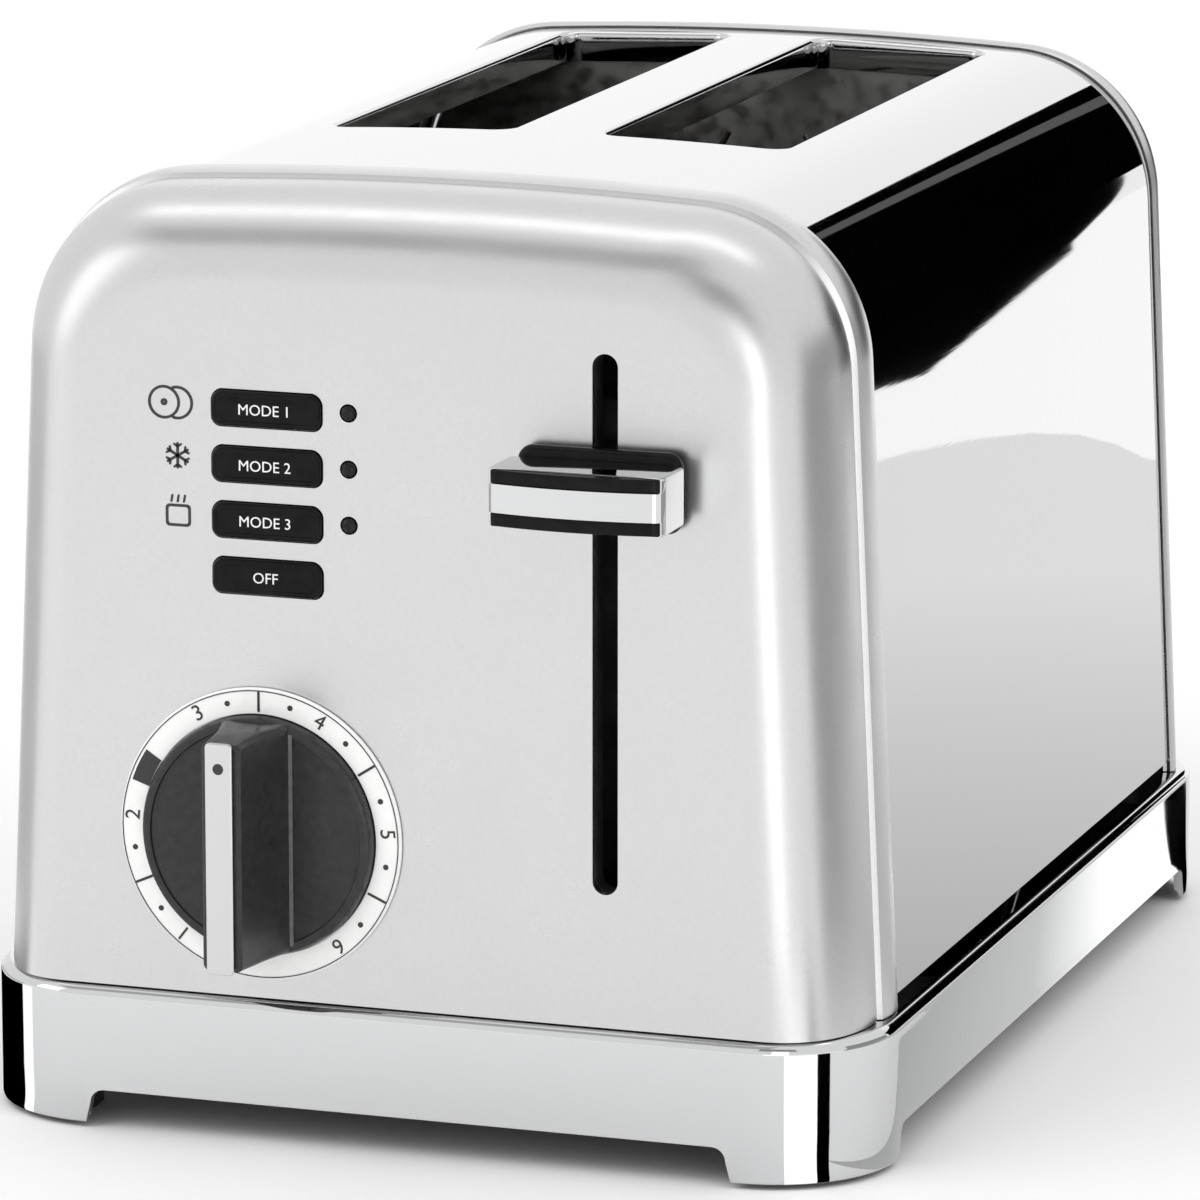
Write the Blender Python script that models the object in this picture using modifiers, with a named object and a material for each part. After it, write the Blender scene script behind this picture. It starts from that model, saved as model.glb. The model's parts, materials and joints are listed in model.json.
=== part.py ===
"""Pop-up toaster for two slices, as separate sub-parts in metres, +Z up.

The toaster stands on z = 0 with its control side towards -Y. The parts are laid
out round the middle of the base and hang from one empty, which moves them so that
the world origin is at the bottom centre of the whole toaster.
"""
import math

import bmesh
import bpy

GAP = 0.0003                    # clearance between pieces that touch

# Chrome base
BASE_WIDTH = 0.185
BASE_DEPTH = 0.270
BASE_TOP_Z = 0.029
BASE_CORNER_R = 0.025
BASE_WALL = 0.002
BASE_EDGE_R = 0.002
BASE_LEDGE = 0.0115             # how far the top of the base reaches inwards
BASE_HEM_Z = 0.001              # chrome wall's lower edge above the table
ARCH_TOP_Z = 0.008
ARCH_CORNER_R = 0.003
FOOT_SPAN = 0.027               # length of a corner foot along each side

# Bottom pan and rubber feet
PAN_FLOOR_Z = 0.012
PAN_WALL = 0.002
PAN_RIM_RISE = 0.0022           # black rim that shows above the base
PAN_VENT = (0.040, 0.004)
PAN_VENT_PITCH = 0.014
PAN_VENT_COUNT = 5
PAD_RADIUS = 0.0075
PAD_CHAMFER = 0.001
PAD_INSET = 0.0155              # pad centre from the base's two sides

# Body: shell, front panel and rear panel
SHELL_INSET = 0.0036            # shell's side inside the base's, at the base's top
SHELL_TOP_Z = 0.188
SHELL_LEAN = 0.047              # how much each side leans in for its height
SHELL_CORNER_R = 0.032
SHELL_CROWN_R = 0.900
SHELL_WALL = 0.0008
SHELL_BOTTOM_RISE = 0.0025      # shell's lower edge above the base
FRONT_PANEL_DEPTH = 0.0354      # front seam behind the base's front
REAR_PANEL_DEPTH = 0.0270       # rear seam before the base's rear
PANEL_WALL = 0.002
PANEL_INSET_FRONT = 0.0016      # front face behind the base's front
BEAD_PROUD = 0.0012
FRONT_BEAD_WIDTH = 0.0115
FRONT_ROUND = 0.017             # rounding of the front panel, measured across
REAR_BEAD_WIDTH = 0.005
REAR_ROUND = 0.013
PANEL_INSET_REAR = 0.0085       # rear face before the base's rear
PANEL_VENT = (0.036, 0.003)     # rear panel's air slots
PANEL_VENT_X = 0.024
PANEL_VENT_Z = 0.086
PANEL_VENT_PITCH = 0.008
PANEL_VENT_ROWS = 6

# Bread slots
SLOT_WIDTH = 0.038
SLOT_BRIDGE = 0.0195            # metal between the two slots
SLOT_FRONT_MARGIN = 0.0085      # slot's front end behind the front bulkhead
SLOT_REAR_MARGIN = 0.0020       # slot's rear end before the rear bulkhead
SLOT_CORNER_R = 0.004

# Toasting chamber
MECHANISM_DEPTH = 0.0466        # front bulkhead behind the front seam
REAR_BULKHEAD_GAP = 0.0045      # rear bulkhead before the rear seam
BULKHEAD_THICKNESS = 0.001
BULKHEAD_MARGIN = 0.0015        # bulkhead's edge inside the shell's inner face
CHAMBER_FLOOR_Z = 0.036
BOARD_THICKNESS = 0.0008
BOARD_HEIGHT = 0.118
BOARD_BOTTOM_Z = 0.044
OUTER_BOARD_X = 0.0610
WIRE_RIBBON = 0.002
WIRE_THICKNESS = 0.0004
WIRE_RUNS = 7
WIRE_MARGIN = 0.010             # ribbon's ends inside the board's edges
REFLECTOR_X = 0.0715
REFLECTOR_THICKNESS = 0.0006
GUIDE_THICKNESS = 0.0012
GUIDE_CLEARANCE = 0.0034        # guide's middle inside the slot's edge
GUIDE_HEIGHT = 0.120
GUIDE_BOTTOM_Z = 0.048
GUIDE_WINDOWS = 5
GUIDE_BAR = 0.0022

# Carriage
RACK_Z = 0.118
RACK_WIDTH = 0.008
RACK_THICKNESS = 0.0012
RACK_HOLES = 6
RACK_RAIL = 0.002
RACK_PASS_SIDE = 0.0015         # room beside a rack where it goes through the bulkhead
RACK_PASS_END = 0.002           # room above and below it there
RACK_END_GAP = 0.006            # rack's rear end before the rear bulkhead
LIFT_DOWN = 0.072
LIFT_UP = 0.020
BRACKET_FRONT = 0.026           # bracket's front face before the front bulkhead
BRACKET_REAR = 0.009
BRACKET_DROP = 0.006            # bracket's front leg below the racks
BRACKET_SHEET = 0.002
BRACKET_LEFT_X = -0.036
BRACKET_RIGHT_X = 0.066
BRACKET_TOP_Z = 0.141
ROD_RADIUS = 0.0025
ROD_XS = (0.004, 0.058)
ROD_AHEAD = 0.017               # rods before the front bulkhead
ROD_TOP_Z = 0.177
ROD_SHELF_Z = 0.172
SHELF_END = 0.008               # shelf past each rod's axis
SHELF_AHEAD = 0.006
SHELF_ROOT = 0.7                # share of the bulkhead's sheet that the shelf goes into
SPRING_X = 0.032
SPRING_RADIUS = 0.0032
SPRING_WIRE_R = 0.0005
SPRING_TURNS = 9
SPRING_STEPS = 10               # points in each turn

# Lever
LEVER_X = 0.0407
LEVER_Z = 0.1353
LEVER_SLOT_WIDTH = 0.0051
LEVER_SLOT_LOW_Z = 0.0555
LEVER_SLOT_HIGH_Z = 0.1605
LINER_MARGIN = 0.003
LINER_DEPTH = 0.004
ARM_THICKNESS = 0.003
ARM_HEIGHT = 0.006
ARM_FOOT = 0.006                # depth of the arm's foot on the bracket
ARM_TAPER = 0.012               # where the arm reaches its own height
ARM_IN_KNOB = 0.006
KNOB_WIDTH = 0.035
KNOB_HEIGHT = 0.0113
KNOB_FRONT = 0.020              # knob's front face out from the panel
KNOB_BACK = 0.005
KNOB_CORNER_R = 0.002
INLAY_HEIGHT = 0.0025
INLAY_DEPTH = 0.0010
LEVER_PLATE_HEIGHT = 0.0160
LEVER_PLATE_FRONT = 0.0042
LEVER_PLATE_BACK = 0.0010
LEVER_PLATE_CORNER_R = 0.0025
LEVER_PLATE_INSET = 0.0010       # plate's ends inside the knob's

# Latch magnet
MAGNET_X = 0.0165
MAGNET_WIDTH = 0.016
MAGNET_LEG = 0.004
MAGNET_DEPTH = 0.008
COIL_WALL = 0.0025
COIL_HEIGHT = 0.018
ARMATURE_THICKNESS = 0.002
MAGNET_AIR_GAP = 0.0005

# Controls
CONTROL_X = -0.0277             # buttons' middle
BUTTON_TOP_Z = 0.1460
BUTTON_SPACING = 0.00333        # between one button and the next
BUTTON_NAMES = ("button_bagel", "button_defrost", "button_reheat", "button_stop")
BUTTON_WIDTH = 0.0224
BUTTON_HEIGHT = 0.0076
BUTTON_CORNER_R = 0.0018
BUTTON_PROUD = 0.0015
BUTTON_TRAVEL = 0.0015
BUTTON_FLANGE = 0.0013
BUTTON_CAP_DEPTH = 0.0055
BUTTON_STEM_R = 0.002
BUTTON_STEM_ROOT = 0.001        # stem's start inside the cap
LIGHT_X = -0.0110
LIGHT_RADIUS = 0.0015
LIGHT_PROUD = 0.0008
PCB_SETBACK = 0.0214            # control board's front face behind the panel's
PCB_THICKNESS = 0.0016
PCB_LOW = (-0.062, 0.037)
PCB_HIGH = (0.012, 0.158)
SWITCH_SIZE = 0.006
SWITCH_DEPTH = 0.0035

# Browning dial
DIAL_X = -0.0294
DIAL_RISE = 0.0042              # dial's ring above the base
DIAL_RING_R = 0.0290
DIAL_RING_DEPTH = 0.0010
DIAL_RING_CHAMFER = 0.0005
DIAL_SCALE_WIDTH = 0.0053       # ring that shows round the knob
DIAL_KNOB_CHAMFER = 0.0012
DIAL_DISC_DEPTH = 0.0042
DIAL_GRIP_FRONT = 0.0230        # grip's front out from the panel
DIAL_GRIP_HALF = 0.0040
DIAL_GRIP_FOOT_HALF = 0.0065
DIAL_GRIP_WAIST = 0.0084        # where the grip reaches its own width, out from the panel
DIAL_BORE_DEPTH = 0.0105
DIAL_INSERT_WIDTH = 0.0055
DIAL_INSERT_DEPTH = 0.0008
DIAL_SHAFT_R = 0.003
DIAL_SHAFT_ROOM = 0.0015        # room round the shaft in the panel
POT_RADIUS = 0.0085
POT_DEPTH = 0.010
POT_SHAFT_OVERLAP = 0.002
POT_FLOOR = 0.0015

# Crumb tray, cord gland and fasteners
TRAY_WIDTH = 0.124
TRAY_FRONT_MARGIN = 0.008       # tray's front behind the front bulkhead
TRAY_HEIGHT = 0.0075
TRAY_WALL = 0.0008
TRAY_HANDLE_PROUD = 0.0030
TRAY_HANDLE_WIDTH = 0.060
TRAY_HANDLE_THICKNESS = 0.0025
GLAND_X = 0.058
GLAND_Z = 0.047
GLAND_RADIUS = 0.0052
GLAND_BORE_R = 0.0036
GLAND_FLANGE_R = 0.0080
GLAND_FLANGE_DEPTH = 0.002
GLAND_CHAMFER = 0.001
GLAND_REACH = 0.004             # gland's length behind the panel's sheet
SCREW_HEAD_R = 0.0028
SCREW_HEAD_DEPTH = 0.0016
SCREW_SHANK_R = 0.0012
SCREW_LENGTH = 0.0075
REAR_SCREW_X = 0.048
REAR_SCREW_Z = 0.148

# Values that follow from the ones above
SHELL_HALF_WIDTH = BASE_WIDTH / 2 - SHELL_INSET
FRONT_FACE_Y = -BASE_DEPTH / 2 + PANEL_INSET_FRONT
FRONT_SEAM_Y = -BASE_DEPTH / 2 + FRONT_PANEL_DEPTH
REAR_FACE_Y = BASE_DEPTH / 2 - PANEL_INSET_REAR
REAR_SEAM_Y = BASE_DEPTH / 2 - REAR_PANEL_DEPTH
FRONT_BULKHEAD_Y = FRONT_SEAM_Y + MECHANISM_DEPTH
REAR_BULKHEAD_Y = REAR_SEAM_Y - REAR_BULKHEAD_GAP
BRACKET_FRONT_Y = FRONT_BULKHEAD_Y - BRACKET_FRONT
BRACKET_REAR_Y = FRONT_BULKHEAD_Y - BRACKET_REAR
ROD_Y = FRONT_BULKHEAD_Y - ROD_AHEAD
BOARD_FACE_Y = FRONT_FACE_Y + PCB_SETBACK
TRAY_FRONT_Y = FRONT_BULKHEAD_Y + TRAY_FRONT_MARGIN
BUTTON_PITCH = BUTTON_HEIGHT + BUTTON_SPACING
DIAL_Z = BASE_TOP_Z + DIAL_RISE + DIAL_RING_R
DIAL_KNOB_R = DIAL_RING_R - DIAL_SCALE_WIDTH
PANEL_BACK_Y = FRONT_FACE_Y + PANEL_WALL
FRONT_GROOVE_Y = FRONT_SEAM_Y - FRONT_BEAD_WIDTH
REAR_GROOVE_Y = REAR_SEAM_Y + REAR_BEAD_WIDTH
PANEL_BOTTOM_Z = BASE_TOP_Z + GAP
SHELL_BOTTOM_Z = BASE_TOP_Z + SHELL_BOTTOM_RISE
PAN_RIM_Z = BASE_TOP_Z + PAN_RIM_RISE
PAN_TOP_Z = PAN_FLOOR_Z + PAN_WALL
SLOT_X = (SLOT_BRIDGE + SLOT_WIDTH) / 2
SLOT_FRONT_Y = FRONT_BULKHEAD_Y + SLOT_FRONT_MARGIN
SLOT_REAR_Y = REAR_BULKHEAD_Y - SLOT_REAR_MARGIN
SLOT_LENGTH = SLOT_REAR_Y - SLOT_FRONT_Y
CHAMBER_FRONT_Y = FRONT_BULKHEAD_Y + BULKHEAD_THICKNESS + GAP
CHAMBER_REAR_Y = REAR_BULKHEAD_Y - GAP
RACK_TOP_Z = RACK_Z + RACK_THICKNESS
ARMATURE_Z = RACK_TOP_Z - ARMATURE_THICKNESS
MAGNET_TOP_Z = ARMATURE_Z - LIFT_DOWN - MAGNET_AIR_GAP
DIAL_GRIP_TIP = DIAL_GRIP_FRONT - DIAL_INSERT_DEPTH - GAP
TRAY_Z = PAN_TOP_Z + 2 * GAP
TRAY_OPENING_Z = TRAY_Z + TRAY_HEIGHT
FOREMOST_Y = FRONT_FACE_Y - max(DIAL_GRIP_FRONT, KNOB_FRONT)
REARMOST_Y = BASE_DEPTH / 2 + TRAY_HANDLE_PROUD
ORIGIN_SHIFT_Y = -(FOREMOST_Y + REARMOST_Y) / 2

TRIM = 0.02                     # how far a cutter runs past what it cuts
ROUND_SEGMENTS = 24
SMOOTH_ANGLE = math.radians(35)
FACE_XZ = (math.pi / 2, 0, 0)
FACE_YZ = (math.pi / 2, 0, math.pi / 2)
TURN_TO_FRONT = (math.pi / 2, 0, 0)      # local +Z to the front, -Y
TURN_TO_REAR = (-math.pi / 2, 0, 0)      # local +Z to the rear, +Y

# finish: colour, roughness, metallic
FINISHES = {
    "chrome": ((0.82, 0.82, 0.83), 0.06, 1.0),
    "steel_polished": ((0.80, 0.80, 0.81), 0.10, 1.0),
    "satin_metal": ((0.70, 0.70, 0.70), 0.32, 1.0),
    "steel_plated": ((0.62, 0.62, 0.60), 0.35, 1.0),
    "steel_dark": ((0.30, 0.29, 0.28), 0.45, 1.0),
    "black_plastic": ((0.018, 0.018, 0.019), 0.30, 0.0),
    "black_rubber": ((0.025, 0.025, 0.025), 0.75, 0.0),
    "mica": ((0.52, 0.44, 0.33), 0.55, 0.0),
    "heating_alloy": ((0.25, 0.20, 0.17), 0.50, 1.0),
    "copper": ((0.72, 0.33, 0.16), 0.35, 1.0),
    "circuit_green": ((0.03, 0.20, 0.09), 0.50, 0.0),
    "white_print": ((0.82, 0.82, 0.81), 0.30, 0.0),
    "smoked_lens": ((0.05, 0.045, 0.045), 0.15, 0.0),
}


# ---------------------------------------------------------------- scene helpers

def clear_scene():
    """Remove the objects that the scene starts with."""
    for item in list(bpy.data.objects):
        bpy.data.objects.remove(item, do_unlink=True)


def new_collection(name):
    """Make a collection in the scene."""
    collection = bpy.data.collections.new(name)
    bpy.context.scene.collection.children.link(collection)
    return collection


def new_empty(name, location, parent=None):
    """Make an empty that pieces hang from, at a place relative to its parent."""
    empty = bpy.data.objects.new(name, None)
    empty.empty_display_size = 0.02
    empty.location = location
    empty.parent = parent
    PARTS.objects.link(empty)
    return empty


def new_material(name, finish):
    """Make one part's own material from a finish."""
    colour, roughness, metallic = FINISHES[finish]
    material = bpy.data.materials.new(name)
    material.use_nodes = True
    shader = material.node_tree.nodes["Principled BSDF"]
    shader.inputs["Base Color"].default_value = (*colour, 1.0)
    shader.inputs["Roughness"].default_value = roughness
    shader.inputs["Metallic"].default_value = metallic
    material.diffuse_color = (*colour, 1.0)
    return material


def place(item, group, location, rotation=(0, 0, 0)):
    """Hang an object from a group's empty, at a place in the toaster's own layout."""
    item.parent = group
    home = (0, 0, 0) if group is TOASTER else group.location
    item.location = [there - start for there, start in zip(location, home)]
    item.rotation_euler = rotation


def add_part(name, mesh, finish, location, rotation=(0, 0, 0), group=None):
    """Make a sub-part from a mesh, with its own material."""
    part = bpy.data.objects.new(name, mesh)
    PARTS.objects.link(part)
    if not mesh.materials:
        mesh.materials.append(None)
    part.material_slots[0].link = 'OBJECT'
    part.material_slots[0].material = new_material(name, finish)
    mesh.shade_smooth()
    mesh.set_sharp_from_angle(angle=SMOOTH_ANGLE)
    place(part, group or TOASTER, location, rotation)
    return part


def add_cutter(mesh, location, rotation=(0, 0, 0)):
    """Make an object that only cuts or joins others."""
    cutter = bpy.data.objects.new("cutter", mesh)
    CUTTERS.objects.link(cutter)
    cutter.hide_render = True
    cutter.display_type = 'WIRE'
    place(cutter, TOASTER, location, rotation)
    return cutter


def combine(part, tool, operation='DIFFERENCE', solver='EXACT'):
    """Cut a part with a tool, or join the tool to it."""
    modifier = part.modifiers.new("boolean", 'BOOLEAN')
    modifier.operation = operation
    modifier.solver = solver
    modifier.object = tool


def solidify(part, thickness):
    """Give a sheet its thickness, on the inner side."""
    modifier = part.modifiers.new("solidify", 'SOLIDIFY')
    modifier.thickness = thickness
    modifier.offset = -1.0
    modifier.use_even_offset = True


def finished_mesh(item):
    """Return an object's mesh with its modifiers applied, its loose caps welded."""
    bpy.context.view_layer.update()
    graph = bpy.context.evaluated_depsgraph_get()
    mesh = bpy.data.meshes.new_from_object(item.evaluated_get(graph))
    work = bmesh.new()
    work.from_mesh(mesh)
    bmesh.ops.remove_doubles(work, verts=work.verts, dist=1e-6)
    bmesh.ops.recalc_face_normals(work, faces=work.faces)
    work.to_mesh(mesh)
    work.free()
    mesh.materials.clear()
    return mesh


# ---------------------------------------------------------------- shape helpers

def box_mesh(size):
    """Return a box of a size, round its own middle."""
    work = bmesh.new()
    bmesh.ops.create_cube(work, size=1.0)
    bmesh.ops.scale(work, vec=size, verts=work.verts)
    mesh = bpy.data.meshes.new("box")
    work.to_mesh(mesh)
    work.free()
    return mesh


def cylinder_mesh(radius, length, segments=ROUND_SEGMENTS):
    """Return a cylinder along Z, round its own middle."""
    work = bmesh.new()
    bmesh.ops.create_cone(work, cap_ends=True, segments=segments,
                          radius1=radius, radius2=radius, depth=length)
    mesh = bpy.data.meshes.new("cylinder")
    work.to_mesh(mesh)
    work.free()
    return mesh


def middle(low, high):
    """Return the point half way between two corners."""
    return [(a + b) / 2 for a, b in zip(low, high)]


def span(low, high):
    """Return the size between two corners."""
    return [b - a for a, b in zip(low, high)]


def box_part(name, low, high, finish, group=None):
    """Make a part that is a box between two corners."""
    return add_part(name, box_mesh(span(low, high)), finish, middle(low, high), group=group)


def box_cutter(low, high):
    """Make a cutter that is a box between two corners."""
    return add_cutter(box_mesh(span(low, high)), middle(low, high))


def rounded_rectangle(width, height, radius, centre=(0.0, 0.0), steps=3):
    """Return a rounded rectangle's points, anticlockwise from the right side."""
    points = []
    for quarter, (sign_x, sign_y) in enumerate(((1, -1), (1, 1), (-1, 1), (-1, -1))):
        corner_x = centre[0] + sign_x * (width / 2 - radius)
        corner_y = centre[1] + sign_y * (height / 2 - radius)
        for step in range(steps + 1):
            angle = math.radians(90) * (quarter - 1 + step / steps)
            points.append((corner_x + radius * math.cos(angle),
                           corner_y + radius * math.sin(angle)))
    return points


def rectangle(low_x, low_y, high_x, high_y):
    """Return a rectangle's four corners, anticlockwise."""
    return [(low_x, low_y), (high_x, low_y), (high_x, high_y), (low_x, high_y)]


def plate_mesh(outlines, thickness):
    """Return a flat plate in XY: the first outline is its edge, the others are holes."""
    curve = bpy.data.curves.new("outline", 'CURVE')
    curve.dimensions = '2D'
    curve.fill_mode = 'BOTH'
    curve.extrude = thickness / 2
    for outline in outlines:
        spline = curve.splines.new('POLY')
        spline.points.add(len(outline) - 1)
        for point, (x, y) in zip(spline.points, outline):
            point.co = (x, y, 0, 1)
        spline.use_cyclic_u = True
    holder = bpy.data.objects.new("outline", curve)
    CUTTERS.objects.link(holder)
    mesh = finished_mesh(holder)
    bpy.data.objects.remove(holder, do_unlink=True)
    return mesh


def turned_mesh(profile, steps=ROUND_SEGMENTS):
    """Return a shape turned about Z from a closed profile of (radius, height) points."""
    work = bmesh.new()
    points = [work.verts.new((radius, 0, height)) for radius, height in profile]
    for start, end in zip(points, points[1:] + points[:1]):
        if start.co.x > 0 or end.co.x > 0:
            work.edges.new((start, end))
    mesh = bpy.data.meshes.new("profile")
    work.to_mesh(mesh)
    work.free()
    holder = bpy.data.objects.new("profile", mesh)
    CUTTERS.objects.link(holder)
    screw = holder.modifiers.new("screw", 'SCREW')
    screw.steps = steps
    screw.render_steps = steps
    screw.use_merge_vertices = True
    screw.merge_threshold = 0.00001
    turned = finished_mesh(holder)
    bpy.data.objects.remove(holder, do_unlink=True)
    return turned


def loft_mesh(rings, closed, cap_first=False, cap_last=False):
    """Return a sheet through rings of points, with an end filled if asked."""
    work = bmesh.new()
    rows = [[work.verts.new(point) for point in ring] for ring in rings]
    count = len(rows[0])
    for row, following in zip(rows, rows[1:]):
        for index in range(count if closed else count - 1):
            after = (index + 1) % count
            work.faces.new((row[index], row[after], following[after], following[index]))
    if cap_first:
        work.faces.new(list(reversed(rows[0])))
    if cap_last:
        work.faces.new(rows[-1])
    mesh = bpy.data.meshes.new("loft")
    work.to_mesh(mesh)
    work.free()
    return mesh


def arch_outline(inset, bottom_z, corner_steps=7, crown_steps=6):
    """Return the body's outline in XZ, from its lower left over the top to its lower right.

    The sides lean in, and a corner arc joins each one to the crown's long arc.
    inset moves the whole outline inwards.
    """
    corner_r = SHELL_CORNER_R - max(inset, 0) * 0.5
    crown_r = SHELL_CROWN_R - inset
    crown_z = SHELL_TOP_Z - SHELL_CROWN_R
    slope = math.hypot(1, SHELL_LEAN)
    side_x = SHELL_HALF_WIDTH - inset * slope
    # The corner's centre lies one radius inside the leaning side and the crown.
    reach = crown_r - corner_r
    low = BASE_TOP_Z
    high = SHELL_TOP_Z
    for _ in range(60):
        centre_z = (low + high) / 2
        centre_x = side_x - SHELL_LEAN * (centre_z - BASE_TOP_Z) - corner_r * slope
        if math.hypot(centre_x, centre_z - crown_z) < reach:
            low = centre_z
        else:
            high = centre_z
    side_angle = math.atan(SHELL_LEAN)
    crown_angle = math.atan2(centre_z - crown_z, centre_x)
    right = [(side_x - SHELL_LEAN * (bottom_z - BASE_TOP_Z), bottom_z)]
    for step in range(corner_steps + 1):
        angle = side_angle + (crown_angle - side_angle) * step / corner_steps
        right.append((centre_x + corner_r * math.cos(angle), centre_z + corner_r * math.sin(angle)))
    for step in range(1, crown_steps // 2 + 1):
        angle = crown_angle + (math.pi / 2 - crown_angle) * step / (crown_steps // 2)
        right.append((crown_r * math.cos(angle), crown_z + crown_r * math.sin(angle)))
    left = [(-x, z) for x, z in right[:-1]]
    return left + right[::-1]


def base_outline(inset, z, steps=5):
    """Return the base's plan outline at a height, moved inwards by inset."""
    radius = BASE_CORNER_R - inset
    points = rounded_rectangle(BASE_WIDTH - 2 * inset, BASE_DEPTH - 2 * inset, radius, steps=steps)
    return [(x, y, z) for x, y in points]


# ---------------------------------------------------------------- base

def tray_opening(margin):
    """Return the low and high (x, z) of the tray's way out at the rear."""
    half = TRAY_WIDTH / 2 + margin
    return (-half, TRAY_Z - margin), (half, TRAY_OPENING_Z + margin)


def make_base():
    """Chrome base: a wall with a rounded top ledge, arched between four corner feet."""
    rings = [base_outline(0, BASE_HEM_Z)]
    for step in range(4):
        angle = math.radians(30) * step
        rings.append(base_outline(BASE_EDGE_R * (1 - math.cos(angle)),
                                  BASE_TOP_Z - BASE_EDGE_R * (1 - math.sin(angle))))
    rings.append(base_outline(BASE_LEDGE, BASE_TOP_Z))
    base = add_part("base_frame", loft_mesh(rings, closed=True), "chrome", (0, 0, 0))
    solidify(base, BASE_WALL)
    arch_x = rounded_rectangle(BASE_WIDTH - 2 * FOOT_SPAN, 2 * ARCH_TOP_Z, ARCH_CORNER_R)
    arch_y = rounded_rectangle(BASE_DEPTH - 2 * FOOT_SPAN, 2 * ARCH_TOP_Z, ARCH_CORNER_R)
    combine(base, add_cutter(plate_mesh([arch_x], BASE_DEPTH + TRIM), (0, 0, 0), FACE_XZ))
    combine(base, add_cutter(plate_mesh([arch_y], BASE_WIDTH + TRIM), (0, 0, 0), FACE_YZ))
    low, high = tray_opening(2 * GAP)
    rear_y = BASE_DEPTH / 2
    combine(base, box_cutter((low[0], rear_y - TRIM / 2, low[1]), (high[0], rear_y + TRIM, high[1])))


def make_pan():
    """Black bottom pan: floor, walls and the rim that shows under the shell."""
    outside = BASE_WALL + GAP
    step_z = BASE_TOP_Z - BASE_WALL - GAP
    rim = BASE_LEDGE + GAP
    rings = [
        base_outline(outside, PAN_FLOOR_Z),
        base_outline(outside, step_z),
        base_outline(rim, step_z),
        base_outline(rim, PAN_RIM_Z),
    ]
    mesh = loft_mesh(rings, closed=True, cap_first=True)
    pan = add_part("bottom_pan", mesh, "black_plastic", (0, 0, 0))
    solidify(pan, PAN_WALL)
    low, high = tray_opening(2 * GAP)
    rear_y = BASE_DEPTH / 2
    combine(pan, box_cutter((low[0], rear_y - TRIM, low[1]), (high[0], rear_y + TRIM, high[1])))
    for index in range(PAN_VENT_COUNT):
        vent_y = PAN_VENT_PITCH * (index - (PAN_VENT_COUNT - 1) / 2)
        vent = rounded_rectangle(*PAN_VENT, PAN_VENT[1] / 2 - GAP / 3)
        combine(pan, add_cutter(plate_mesh([vent], TRIM), (0, vent_y, PAN_FLOOR_Z)))
    for x, y in foot_centres():
        bore = cylinder_mesh(SCREW_SHANK_R + GAP, TRIM, 12)
        combine(pan, add_cutter(bore, (x, y, PAN_FLOOR_Z)))


def foot_centres():
    """Return the four feet's centres, front left first."""
    x = BASE_WIDTH / 2 - PAD_INSET
    y = BASE_DEPTH / 2 - PAD_INSET
    return [(-x, -y), (x, -y), (-x, y), (x, y)]


FOOT_NAMES = ("front_left", "front_right", "rear_left", "rear_right")


def make_feet():
    """Four rubber feet, each with a counterbore for its screw."""
    top = PAN_FLOOR_Z - GAP
    seat = top - SCREW_HEAD_DEPTH
    pocket_r = SCREW_HEAD_R + GAP
    bore_r = SCREW_SHANK_R + GAP
    profile = [
        (bore_r, top),
        (PAD_RADIUS, top),
        (PAD_RADIUS, PAD_CHAMFER),
        (PAD_RADIUS - PAD_CHAMFER, 0.0),
        (pocket_r, 0.0),
        (pocket_r, seat),
        (bore_r, seat),
    ]
    mesh = turned_mesh(profile)
    screw = screw_mesh()
    for name, (x, y) in zip(FOOT_NAMES, foot_centres()):
        add_part("foot_" + name, mesh, "black_rubber", (x, y, 0))
        add_part("foot_screw_" + name, screw, "steel_plated", (x, y, seat - GAP), (0, math.pi, 0))


def screw_mesh():
    """Return a screw: its head's underside at the origin, the head towards +Z."""
    profile = [
        (0, SCREW_HEAD_DEPTH),
        (SCREW_HEAD_R * 0.8, SCREW_HEAD_DEPTH),
        (SCREW_HEAD_R, SCREW_HEAD_DEPTH * 0.4),
        (SCREW_HEAD_R, 0),
        (SCREW_SHANK_R, 0),
        (SCREW_SHANK_R, -SCREW_LENGTH),
        (0, -SCREW_LENGTH),
    ]
    return turned_mesh(profile, 12)


# ---------------------------------------------------------------- body

def arch_ring(inset, y, bottom_z):
    """Return the body's outline as points at one place along the toaster."""
    return [(x, y, z) for x, z in arch_outline(inset, bottom_z)]


def slot_centre(side):
    """Return a bread slot's centre, side being -1 for left or 1 for right."""
    return side * SLOT_X, (SLOT_FRONT_Y + SLOT_REAR_Y) / 2


def make_shell():
    """Outer shell: one bent sheet over the top, with the two bread slots."""
    rings = [
        arch_ring(0, FRONT_SEAM_Y + GAP, SHELL_BOTTOM_Z),
        arch_ring(0, REAR_SEAM_Y - GAP, SHELL_BOTTOM_Z),
    ]
    mesh = loft_mesh(rings, closed=False)
    shell = add_part("outer_shell", mesh, "steel_polished", (0, 0, 0))
    solidify(shell, SHELL_WALL)
    outline = rounded_rectangle(SLOT_WIDTH, SLOT_LENGTH, SLOT_CORNER_R)
    for side in (-1, 1):
        x, y = slot_centre(side)
        combine(shell, add_cutter(plate_mesh([outline], 2 * TRIM), (x, y, SHELL_TOP_Z)))


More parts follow.
